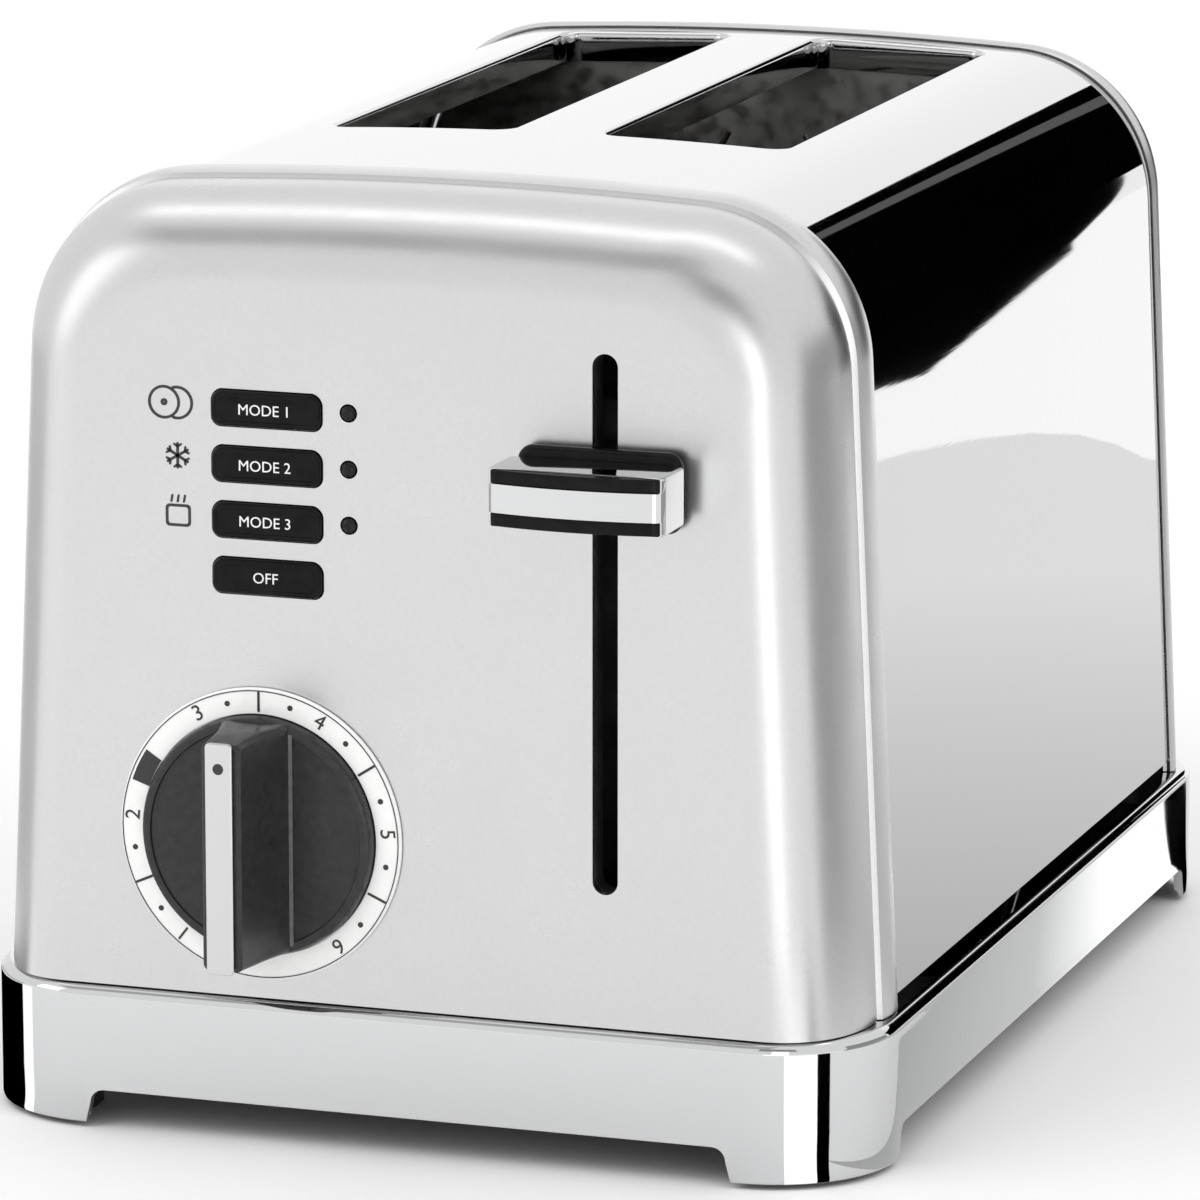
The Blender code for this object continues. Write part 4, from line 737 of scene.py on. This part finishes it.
def make_buttons():
    """Four push buttons with domed faces, and the generic words printed on them."""
    for name, word in zip(BUTTONS, BUTTON_WORDS):
        low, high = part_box(name)
        x, _, z = middle(low, high)
        front = low.y
        rings = []
        layers = ((0.0, 0.0055), (0.0, 0.0008), (0.0002, 0.0004), (0.0005, 0.0002), (0.0010, 0.0002),
                  (0.0012, 0.0), (0.0018, -0.0001))
        for inset, back in layers:
            outline = button_outline(BUTTON_WIDTH - 2 * inset, BUTTON_HEIGHT - 2 * inset)
            rings.append([(x + px, front + 0.0002 + back, z + pz) for px, pz in outline])
        work = loft(rings, cap_first=True, cap_last=True)
        bmesh.ops.recalc_face_normals(work, faces=work.faces)
        cap = to_mesh(work, name, math.radians(60))
        flange = box_mesh((low.x, FACE_Y + PANEL_WALL + GAP, low.z),
                          (high.x, front + 0.0053, high.z), 0.0003, 1)
        length = high.y - front - 0.005
        stem = turned([(0, 0), (0.002, 0), (0.002, length), (0, length)],
                      (x, front + 0.005, z), (0, 1, 0), 16, False)
        body = name.replace("button_", "") + "_button"
        cap = boolean(cap, [flange, stem], 'UNION')
        make_piece(name + "_cap", cap, "gloss_black", body, (name,))
        label = text_mesh(word, 0.0030, (x, front + 0.00008, z - 0.0004))
        make_piece(name + "_word", label, "ink_white", body)


def make_lights():
    """Three domed indicator lenses."""
    for name in LIGHTS:
        low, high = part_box(name)
        x, _, z = middle(low, high)
        radius = (high.x - low.x) / 2
        length = high.y - low.y
        profile = [(0, 0.0)]
        profile += [(radius * math.sin(angle), -0.0009 * (1 - math.cos(angle)))
                    for angle in quarter(8)[1:]]
        profile += [(radius, -length), (0, -length)]
        mesh = turned(profile, (x, low.y, z), (0, -1, 0), 32, False)
        make_piece(name + "_lens", mesh, "smoked_lens", replaces=(name,))


def make_screws():
    """Rear panel screws: domed heads with a cross recess."""
    for side in ("left", "right"):
        low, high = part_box("rear_screw_" + side)
        x, _, z = middle(low, high)
        head_r = (high.x - low.x) / 2
        length = high.y - low.y
        profile = [(0, 0.0), (head_r * 0.5, -0.0001), (head_r * 0.8, -0.0003), (head_r, -0.0007),
                   (head_r, -SCREW_HEAD), (head_r * 0.5, -SCREW_HEAD), (head_r * 0.5, -length),
                   (0, -length)]
        screw = turned(profile, (x, high.y, z), (0, 1, 0), 48, False)
        arm, half = head_r * 0.62, 0.0003
        cross = [box_mesh((x - wide, high.y - 0.0007, z - tall), (x + wide, high.y + 0.001, z + tall))
                 for wide, tall in ((arm, half), (half, arm))]
        make_piece("screw_" + side, boolean(screw, cross), "plated_steel",
                   replaces=("rear_screw_" + side,))


def make_spring():
    """Return spring, which stretches between the housing's shelf and the carriage."""
    low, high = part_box("return_spring")
    x, y, _ = middle(low, high)
    radius = (high.x - low.x) / 2 - SPRING_WIRE_R
    start, end = high.z - SPRING_WIRE_R, low.z + SPRING_WIRE_R
    points = []
    for step in range(SPRING_TURNS * SPRING_STEPS + 1):
        angle = 2 * math.pi * step / SPRING_STEPS
        share = step / (SPRING_TURNS * SPRING_STEPS)
        points.append((*polar(radius, angle, (x, y)), start + (end - start) * share))
    coil = make_piece("spring_coil", wire(points, SPRING_WIRE_R), "plated_steel", None,
                      ("return_spring",))
    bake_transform(coil)


def ring_mesh(outer, inner, x, y, z, steps=40):
    """Return a flat printed ring facing the front."""
    outlines = [[polar(radius, 2 * math.pi * k / steps) for k in range(steps)]
                for radius in (outer, inner)]
    return prism(outlines, PRINT_DEPTH, FACE_XZ, (x, y, z))


def bar_mesh(x, z, length, width, angle, y):
    """Return a thin printed bar facing the front, turned by an angle."""
    cos, sin = math.cos(angle), math.sin(angle)
    corners = [(px * cos - pz * sin, px * sin + pz * cos)
               for px, pz in rounded_rectangle(length, width, width * 0.45, steps=3)]
    return prism([corners], PRINT_DEPTH, FACE_XZ, (x, y, z))


def make_icons():
    """Three generic symbols beside the buttons: rings, snowflake and slice."""
    y = FACE_Y - 0.00006
    stroke = 0.00055
    fine = stroke * 0.8
    ring_r = 0.0033
    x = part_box(BUTTONS[0])[0].x - 0.0064
    ring_z, flake_z, slice_z = [middle(*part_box(name))[2] for name in BUTTONS[:3]]
    rings = [ring_mesh(ring_r, ring_r - stroke, x - 0.0022, y, ring_z),
             ring_mesh(0.0007, 0.0001, x - 0.0022, y, ring_z)]
    outer, inner = [[polar(radius, math.radians(turn)) for turn in range(-110, 111, 10)]
                    for radius in (ring_r, ring_r - stroke)]
    x += 0.0005
    rings.append(prism([outer + inner[::-1]], PRINT_DEPTH, FACE_XZ, (x, y, ring_z)))
    make_piece("icon_rings", joined(rings), "ink_black")
    centre = (x, flake_z + 0.0006)
    flake = []
    for spoke in range(6):
        angle = math.radians(60 * spoke + 30)
        flake.append(bar_mesh(*polar(0.0013, angle, centre), 0.0026, stroke, angle, y))
        for turn in (-0.9, 0.9):
            tip = polar(0.0021, angle + turn * 0.24, centre)
            flake.append(bar_mesh(*tip, 0.0010, fine, angle + turn, y))
    make_piece("icon_snowflake", joined(flake), "ink_black")
    frames = [rounded_rectangle(0.0052 - 2 * inset, 0.0044 - 2 * inset, radius, (0, -0.0002), 5)
              for inset, radius in ((0, 0.0008), (stroke, 0.0005))]
    slice_ = [prism(frames, PRINT_DEPTH, FACE_XZ, (x, y, slice_z))]
    for shift in (-0.0013, 0.0, 0.0013):
        slice_.append(bar_mesh(x + shift, slice_z + 0.0031, 0.0016, fine, math.radians(80), y))
    make_piece("icon_slice", joined(slice_), "ink_black")


def make_dial():
    """Browning dial: printed ring, knob with a waisted grip, bright insert."""
    low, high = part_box("dial_ring")
    x, _, z = middle(low, high)
    radius = (high.x - low.x) / 2
    knob_low, knob_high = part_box("dial_knob")
    knob_r = (knob_high.x - knob_low.x) / 2
    face = low.y
    depth = high.y - low.y
    profile = [(knob_r + GAP, 0.0), (radius - 0.0007, 0.0), (radius - 0.0003, -0.0001),
               (radius, -0.0005), (radius, -depth), (knob_r + GAP, -depth)]
    make_piece("dial_scale", turned(profile, (x, face, z), (0, -1, 0), 128), "dial_white",
               replaces=("dial_ring",))
    print_y = face - 0.00004
    print_r = (radius + knob_r) / 2
    first, step = -142.5, 57.0          # heading of number 1 from straight up, and from one to the next
    marks = []
    for index in range(6):
        angle = math.radians(90 - (first + step * index))
        mark_x, mark_z = polar(print_r, angle, (x, z))
        marks.append(text_mesh(str(index + 1), 0.0044, (mark_x, print_y, mark_z), angle - math.pi / 2))
    for index in range(5):
        angle = math.radians(90 - (first + step * (index + 0.5)))
        if index == 1:
            turns = between(angle, angle + math.radians(14), 6)
            block = [polar(knob_r + 0.0005, turn) for turn in turns]
            block += [polar(radius - 0.0011, turn) for turn in turns[::-1]]
            marks.append(prism([block], PRINT_DEPTH, FACE_XZ, (x, print_y, z)))
            continue
        bar = polar(print_r, angle, (x, z))
        marks.append(bar_mesh(*bar, radius - knob_r - 0.0012, 0.0005, angle, print_y))
        for side in (-0.25, 0.25):
            turn = math.radians(90 - (first + step * (index + 0.5 + side)))
            dot_x, dot_z = polar(print_r, turn, (x, z))
            marks.append(ring_mesh(0.00055, 0.00005, dot_x, print_y, dot_z, 16))
    make_piece("dial_marks", joined(marks), "ink_black")
    rim = ring_mesh(radius - 0.0004, radius - 0.0006, x, print_y, z, 96)
    make_piece("dial_rim_line", rim, "ink_black")
    make_knob(x, z, knob_r)


def make_knob(x, z, knob_r):
    """The turning part of the dial."""
    back = FACE_Y - 0.0006
    disc = 0.0042
    front = FACE_Y - disc
    profile = [(0, 0.0), (knob_r - 0.0022, 0.0), (knob_r - 0.0020, 0.0004), (knob_r - 0.0012, 0.0004),
               (knob_r - 0.0004, 0.0), (knob_r, -0.0008), (knob_r, -(back - front)),
               (0, -(back - front))]
    plate = turned([(r, h - 0.0004) for r, h in profile[:-2]] + profile[-2:],
                   (x, front, z), (0, -1, 0), 128, False)
    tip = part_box("dial_insert")[1].y + GAP
    half = math.sqrt(knob_r ** 2 - 0.0065 ** 2)
    rings = []
    rows = 14
    for row in range(rows + 1):
        share = row / rows
        y = front + 0.001 + (tip - front - 0.001) * share
        flare = (1 - share) ** 2.2
        width = 0.0040 + 0.0036 * flare
        length = half - 0.0006 * share ** 4
        rounding = 0.0012 + 0.0008 * flare
        shrink = 0.0
        if row == rows:
            shrink = 0.0007
        elif row == rows - 1:
            y = tip + 0.0006
        outline = rounded_rectangle(2 * (width - shrink), 2 * (length - shrink),
                                    max(rounding - shrink, 0.0004), steps=6)
        rings.append([(x + px, y, z + pz) for px, pz in outline])
    work = loft(rings, cap_first=True, cap_last=True)
    bmesh.ops.recalc_face_normals(work, faces=work.faces)
    grip = to_mesh(work, "grip", math.radians(50))
    bore = turned([(0, 0), (0.0033, 0), (0.0033, -0.02), (0, -0.02)],
                  (x, FACE_Y - disc * 2.5, z), (0, -1, 0), 32, False)
    mesh = boolean(boolean(plate, [grip], 'UNION'), [bore])
    make_piece("knob", mesh, "satin_black", "browning_dial", ("dial_knob",))
    # a grey strip on the knob's face: a painted highlight on the fillet at the grip's foot
    line = box_mesh((x + 0.0063, front - 0.00008, z - half * 0.92),
                    (x + 0.0079, front + 0.0002, z + half * 0.92))
    make_piece("knob_highlight_strip", line, "painted_highlight_grey", "browning_dial")
    low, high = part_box("dial_insert")
    outline = rounded_rectangle(high.x - low.x, high.z - low.z, 0.0010, steps=6)
    insert = prism([outline], high.y - low.y, FACE_XZ, (x, (low.y + high.y) / 2, z), 0.00025, 3)
    make_piece("knob_insert", insert, "polished_steel", "browning_dial", ("dial_insert",))
    dot = turned([(0, 0.0), (0.0011, 0.0), (0.0011, -0.0002), (0, -0.0002)],
                 (x, low.y - 0.00003, high.z - 0.0050), (0, -1, 0), 24, False)
    make_piece("knob_dot", dot, "ink_black", "browning_dial")


# ---- lever

def make_lever():
    """Lever knob: bright bar with two dark inlays, and the dark plate behind it."""
    low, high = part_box("lever_knob")
    x, _, z = middle(low, high)
    width, height = high.x - low.x, high.z - low.z
    bow = 0.0014
    corner = 0.0024
    front_line = [(share * (width / 2 - corner), low.y + bow * share ** 2) for share in between(-1, 1, 16)]
    end_y = low.y + bow + corner
    right_end = [(width / 2 - corner + corner * math.sin(angle), end_y - corner * math.cos(angle))
                 for angle in quarter(6)[1:]]
    front_line = [(-px, py) for px, py in right_end[::-1]] + front_line + right_end
    back = high.y
    plan = front_line + [(width / 2, back - 0.0008), (width / 2 - 0.0008, back),
                         (-width / 2 + 0.0008, back), (-width / 2, back - 0.0008)]
    knob = prism([plan], height, (0, 0, 0), (x, 0, z), 0.0007, 3)
    seats = []
    grow = 0.004
    shelf = low.y + bow + 0.0009
    for name in ("upper", "lower"):
        inlay_low, inlay_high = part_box("lever_inlay_" + name)
        under, over = (0.0001, grow) if name == "upper" else (grow, 0.0001)
        seats.append(box_mesh((low.x - grow, low.y - grow, inlay_low.z - under),
                              (high.x + grow, low.y + bow + 0.0010, inlay_high.z + over)))
        strip = [(px * 0.995, py + 0.00015) for px, py in front_line if py + 0.00015 < shelf]
        strip += [(strip[-1][0], shelf), (strip[0][0], shelf)]
        mesh = prism([strip], inlay_high.z - inlay_low.z + 0.0001, (0, 0, 0),
                     (x, 0, (inlay_low.z + inlay_high.z) / 2), 0.0003, 2)
        make_piece("lever_strip_" + name, mesh, "gloss_black", "carriage", ("lever_inlay_" + name,))
    arm = (0.0018, 0.0033)
    pocket = box_mesh((x - arm[0], low.y + 0.0085, z - arm[1]), (x + arm[0], high.y + 0.01, z + arm[1]))
    make_piece("lever_bar", boolean(knob, seats + [pocket]), "chrome", "carriage", ("lever_knob",))
    low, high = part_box("lever_plate")
    inset, lower = 0.0001, 0.0004
    outline = rounded_rectangle(high.x - low.x - 2 * inset, high.z - low.z - lower, 0.0030, steps=8)
    centre = ((low.x + high.x) / 2, (low.y + high.y) / 2, (low.z + high.z - lower) / 2)
    plate = prism([outline], high.y - low.y, FACE_XZ, centre, 0.0014, 4)
    slot = box_mesh((x - arm[0], low.y - 0.01, z - arm[1]), (x + arm[0], high.y + 0.01, z + arm[1]))
    make_piece("lever_shield", boolean(plate, [slot]), "gloss_black", "carriage", ("lever_plate",))


# ---- inside

def make_guides():
    """Bread guides as wire cages whose upper ends bend away from the bread."""
    thick = 0.0007
    bend = 0.012
    sides = (("left_outer", -1), ("left_inner", 1), ("right_inner", -1), ("right_outer", 1))
    for name, outward in sides:
        low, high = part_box("bread_guide_" + name)
        x = middle(low, high)[0]
        top = high.z - thick
        pieces = []
        for y in between(low.y + 0.006, high.y - 0.006, 6):
            points = [(x, y, low.z + thick), (x, y, top - bend)]
            for share in (0.25, 0.5, 0.75, 1.0):
                points.append((x + outward * 0.0045 * share ** 1.6, y, top - bend + bend * share))
            pieces.append(wire(points, thick))
        for height in (0.03, 0.5, 0.86):
            z = low.z + (high.z - low.z) * height
            ends = [(x + outward * thick, y, z) for y in (low.y + thick, high.y - thick)]
            pieces.append(wire(ends, thick))
        make_piece("bread_cage_" + name, joined(pieces), "dark_steel", "guide_" + name,
                   ("bread_guide_" + name,))


def paint_frame():
    """Give each CAD node that stays visible its finish."""
    finish_of = {entry["node"]: entry["material_slot"] for entry in frame["record"]["subparts"]}
    for name, node in frame["nodes"].items():
        look = finish_of[name]
        material, _ = LOOKS[look]
        if not node.material_slots:
            node.data.materials.append(material)
        for place in node.material_slots:
            place.material = material


# ---- stage, light and camera

VIEW_AZIMUTH = 18.71
VIEW_ELEVATION = 12.08
FAN_STEPS = 12
FAN_Z = 0.0003
GREY_Z = 0.0004
LANE_Z = 0.0006
WEDGE_Z = 0.0008
WEDGE_REACH = 0.16


def card(name, corners, glow):
    """A flat card, black, grey or glowing, that only mirror-like surfaces see."""
    work = bmesh.new()
    work.faces.new([work.verts.new(corner) for corner in corners])
    item = linked(name, to_mesh(work, name))
    material = bpy.data.materials.new(name)
    material.use_nodes = True
    set_inputs(material.node_tree.nodes["Principled BSDF"], Base_Color=(0, 0, 0, 1), Roughness=1.0,
               Specular_IOR_Level=0.0, Emission_Color=(1, 1, 1, 1), Emission_Strength=glow)
    item.data.materials.append(material)
    item.visible_camera = False
    item.visible_shadow = False
    item.visible_diffuse = False
    return item


def upright(name, low_x, high_x, y, low_z, high_z, glow):
    """A card standing across the view, at one distance behind or before the toaster."""
    corners = [(low_x, y, low_z), (high_x, y, low_z), (high_x, y, high_z), (low_x, y, high_z)]
    return card(name, corners, glow)


def level(name, low_x, high_x, low_y, high_y, z, glow):
    """A card lying level at one height."""
    corners = [(low_x, low_y, z), (high_x, low_y, z), (high_x, high_y, z), (low_x, high_y, z)]
    return card(name, corners, glow)


def fan(name, centre, headings, reach, glow):
    """A card on the floor between two headings and two distances from a point."""
    turns = [math.radians(turn) for turn in between(*headings, FAN_STEPS)]
    near, far = [[(*polar(distance, turn, centre), FAN_Z) for turn in turns] for distance in reach]
    return card(name, near + far[::-1], glow)


def make_stage():
    """Pale floor, white surroundings, soft lights and the cards that chrome reflects."""
    work = bmesh.new()
    bmesh.ops.create_grid(work, x_segments=1, y_segments=1, size=6.0)
    floor = linked("floor", to_mesh(work, "floor"))
    floor.data.materials.append(Shader("floor_paper", grey(0.93), 0.9).material)
    world = bpy.data.worlds.new("studio")
    bpy.context.scene.world = world
    world.use_nodes = True
    set_inputs(world.node_tree.nodes["Background"], Color=(1, 1, 1, 1), Strength=0.95)
    lamp("key", (-0.9, -1.1, 1.5), 1.2, 9)
    lamp("fill", (1.4, -0.4, 1.2), 1.2, 4)
    flags_and_glows()


def flags_and_glows():
    """Cards that the mirror-like surfaces show: black flags, grey floor, bright strips."""
    flag = [(0.12, 0.165), (0.30, 0.165), (0.30, 0.05), (0.35, 0.012), (0.37, 0.008),
            (0.90, 0.008), (0.90, 0.50), (0.12, 0.50)]
    card("flag", [(x, 0.8, z) for x, z in flag], 0.0)
    upright("flag_stripe", 0.163, 0.190, 0.79, 0.28, 0.50, 0.12)
    upright("back_glow", -1.2, 0.95, 1.9, 0.0, 1.4, 1.15)
    upright("front_strip", 0.38, 0.74, -1.29, 0.0, 0.64, 2.3)
    upright("front_grey", 0.10, 1.00, -1.29, 0.66, 1.50, 0.35)
    wall = [(-0.25, 0.0), (1.1, 0.0), (1.1, 0.5), (-0.25, 0.5)]
    card("dark_wall", [(1.3, y, z) for y, z in wall], 0.35)
    level("overhead_strip", -1.1, 0.75, -0.02, 0.36, 1.6, 1.9)
    level("overhead_grey", -1.3, 0.3, -1.5, -0.55, 1.6, 0.5)
    card("left_window", [(-1.26, -0.59, 0.14), (-0.94, -1.05, 0.14), (-0.94, -1.05, 0.95),
                         (-1.26, -0.59, 0.95)], 1.8)
    fan("floor_window", (0.08, -0.13), (-84, -60), (0.20, 1.0), 2.0)
    fan("floor_dark", (0.08, -0.10), (-12, 52), (0.18, 1.2), 0.42)
    fan("floor_left", (-0.08, -0.10), (135, 188), (0.18, 1.2), 0.62)
    side = BASE_HIGH.x
    slant = 0.94 / 0.27
    start, end = -0.125, 0.1165
    item = lane("floor_lane", slant, start, end, 1.5)
    tones(item, (-slant, 1, 0), start - slant * side, end - slant * side,
          [(0.0, 0.35), (0.5, 0.5), (0.8, 1.0)])
    lane("lane_black", slant, end, 0.14, 0.0)
    corner_x, corner_y = side - BASE_CORNER_R, BASE_LOW.y + BASE_CORNER_R
    wedge("wedge_white", corner_x, corner_y, (22, 37), 1.6)
    wedge("wedge_black", corner_x, corner_y, (37, 43), 0.0)
    wedge("left_white", -corner_x, corner_y, (-28, -35), 1.5)
    wedge("left_black", -corner_x, corner_y, (-35, -75), 0.0)
    crest, spread, far = 0.292, 0.05, 0.672
    wave = []
    for x in between(0.127, 0.527, 24):
        swell = math.cos((x - crest) / spread * math.pi / 2) if abs(x - crest) < spread else 0.0
        wave.append((x, far + 0.055 * max(0.0, swell)))
    near = [(x, 0.02) for x, _ in wave[::-1]]
    item = card("floor_grey", [(x, y, GREY_Z) for x, y in wave + near], 1.0)
    tones(item, (0, 1, 0), 0.04, 0.50, [(0.0, 0.60), (1.0, 0.98)])
    level("floor_far", -1.0, 1.6, 0.66, 1.9, 0.0002, 1.27)


def lane(name, slant, start, end, glow):
    """A strip on the floor that leaves the base's right side at a slant."""
    low, high = BASE_HIGH.x, BASE_HIGH.x + 0.035
    drift = slant * (high - low)
    corners = [(low, start), (high, start + drift), (high, end + drift), (low, end)]
    return card(name, [(x, y, LANE_Z) for x, y in corners], glow)


def wedge(name, centre_x, centre_y, starts, glow):
    """A strip on the floor that starts on a corner of the base and runs the way the corner mirrors."""
    corners = []
    for start in starts:
        near = polar(BASE_CORNER_R, math.radians(start - 90), (centre_x, centre_y))
        far = polar(WEDGE_REACH, math.radians(2 * start - 90 - VIEW_AZIMUTH), near)
        corners.append(((*near, WEDGE_Z), (*far, WEDGE_Z)))
    (first, first_far), (last, last_far) = corners
    card(name, [first, first_far, last_far, last], glow)


def tones(item, direction, low, high, stops):
    """Let a card's glow change along a direction, from stop to stop."""
    tree = item.data.materials[0].node_tree
    place = tree.nodes.new("ShaderNodeTexCoord")
    along = tree.nodes.new("ShaderNodeVectorMath")
    along.operation = 'DOT_PRODUCT'
    along.inputs[1].default_value = direction
    spread = tree.nodes.new("ShaderNodeMapRange")
    set_inputs(spread, From_Min=low, From_Max=high)
    ramp = tree.nodes.new("ShaderNodeValToRGB")
    for stop, _ in stops[1:-1]:
        ramp.color_ramp.elements.new(stop)
    for element, (stop, tone) in zip(ramp.color_ramp.elements, stops):
        element.position = stop
        element.color = (*grey(tone), 1)
    tree.links.new(place.outputs["Object"], along.inputs[0])
    tree.links.new(along.outputs["Value"], spread.inputs["Value"])
    tree.links.new(spread.outputs["Result"], ramp.inputs["Fac"])
    tree.links.new(ramp.outputs["Color"], tree.nodes["Principled BSDF"].inputs["Emission Color"])


def lamp(name, place, size, power):
    """A square soft light aimed at the toaster."""
    light = bpy.data.lights.new(name, 'AREA')
    light.shape = 'SQUARE'
    light.size = size
    light.energy = power
    item = linked(name, light)
    item.location = place
    item.visible_glossy = False
    direction = Vector((0, 0, 0.1)) - Vector(place)
    item.rotation_euler = direction.to_track_quat('-Z', 'Y').to_euler()


def make_camera():
    """Camera from the front right, a little above."""
    camera = bpy.data.cameras.new("camera")
    camera.sensor_width = 36.0
    camera.lens = 234.97
    camera.clip_end = 50
    item = linked("camera", camera)
    azimuth, elevation = math.radians(VIEW_AZIMUTH), math.radians(VIEW_ELEVATION)
    back = Vector((math.sin(azimuth) * math.cos(elevation), -math.cos(azimuth) * math.cos(elevation),
                   math.sin(elevation)))
    item.rotation_euler = back.to_track_quat('Z', 'Y').to_euler()
    item.location = (0.50536, -1.50842 + MID_Y, 0.42379)
    bpy.context.scene.camera = item
    bpy.context.scene.view_settings.view_transform = 'Standard'


# ---- assembly

for make in (paint_frame, make_base, make_shell, make_front_panel, make_rear_panel, make_buttons,
             make_lights, make_icons, make_dial, make_lever, make_guides, make_screws, make_spring,
             make_stage, make_camera):
    make()
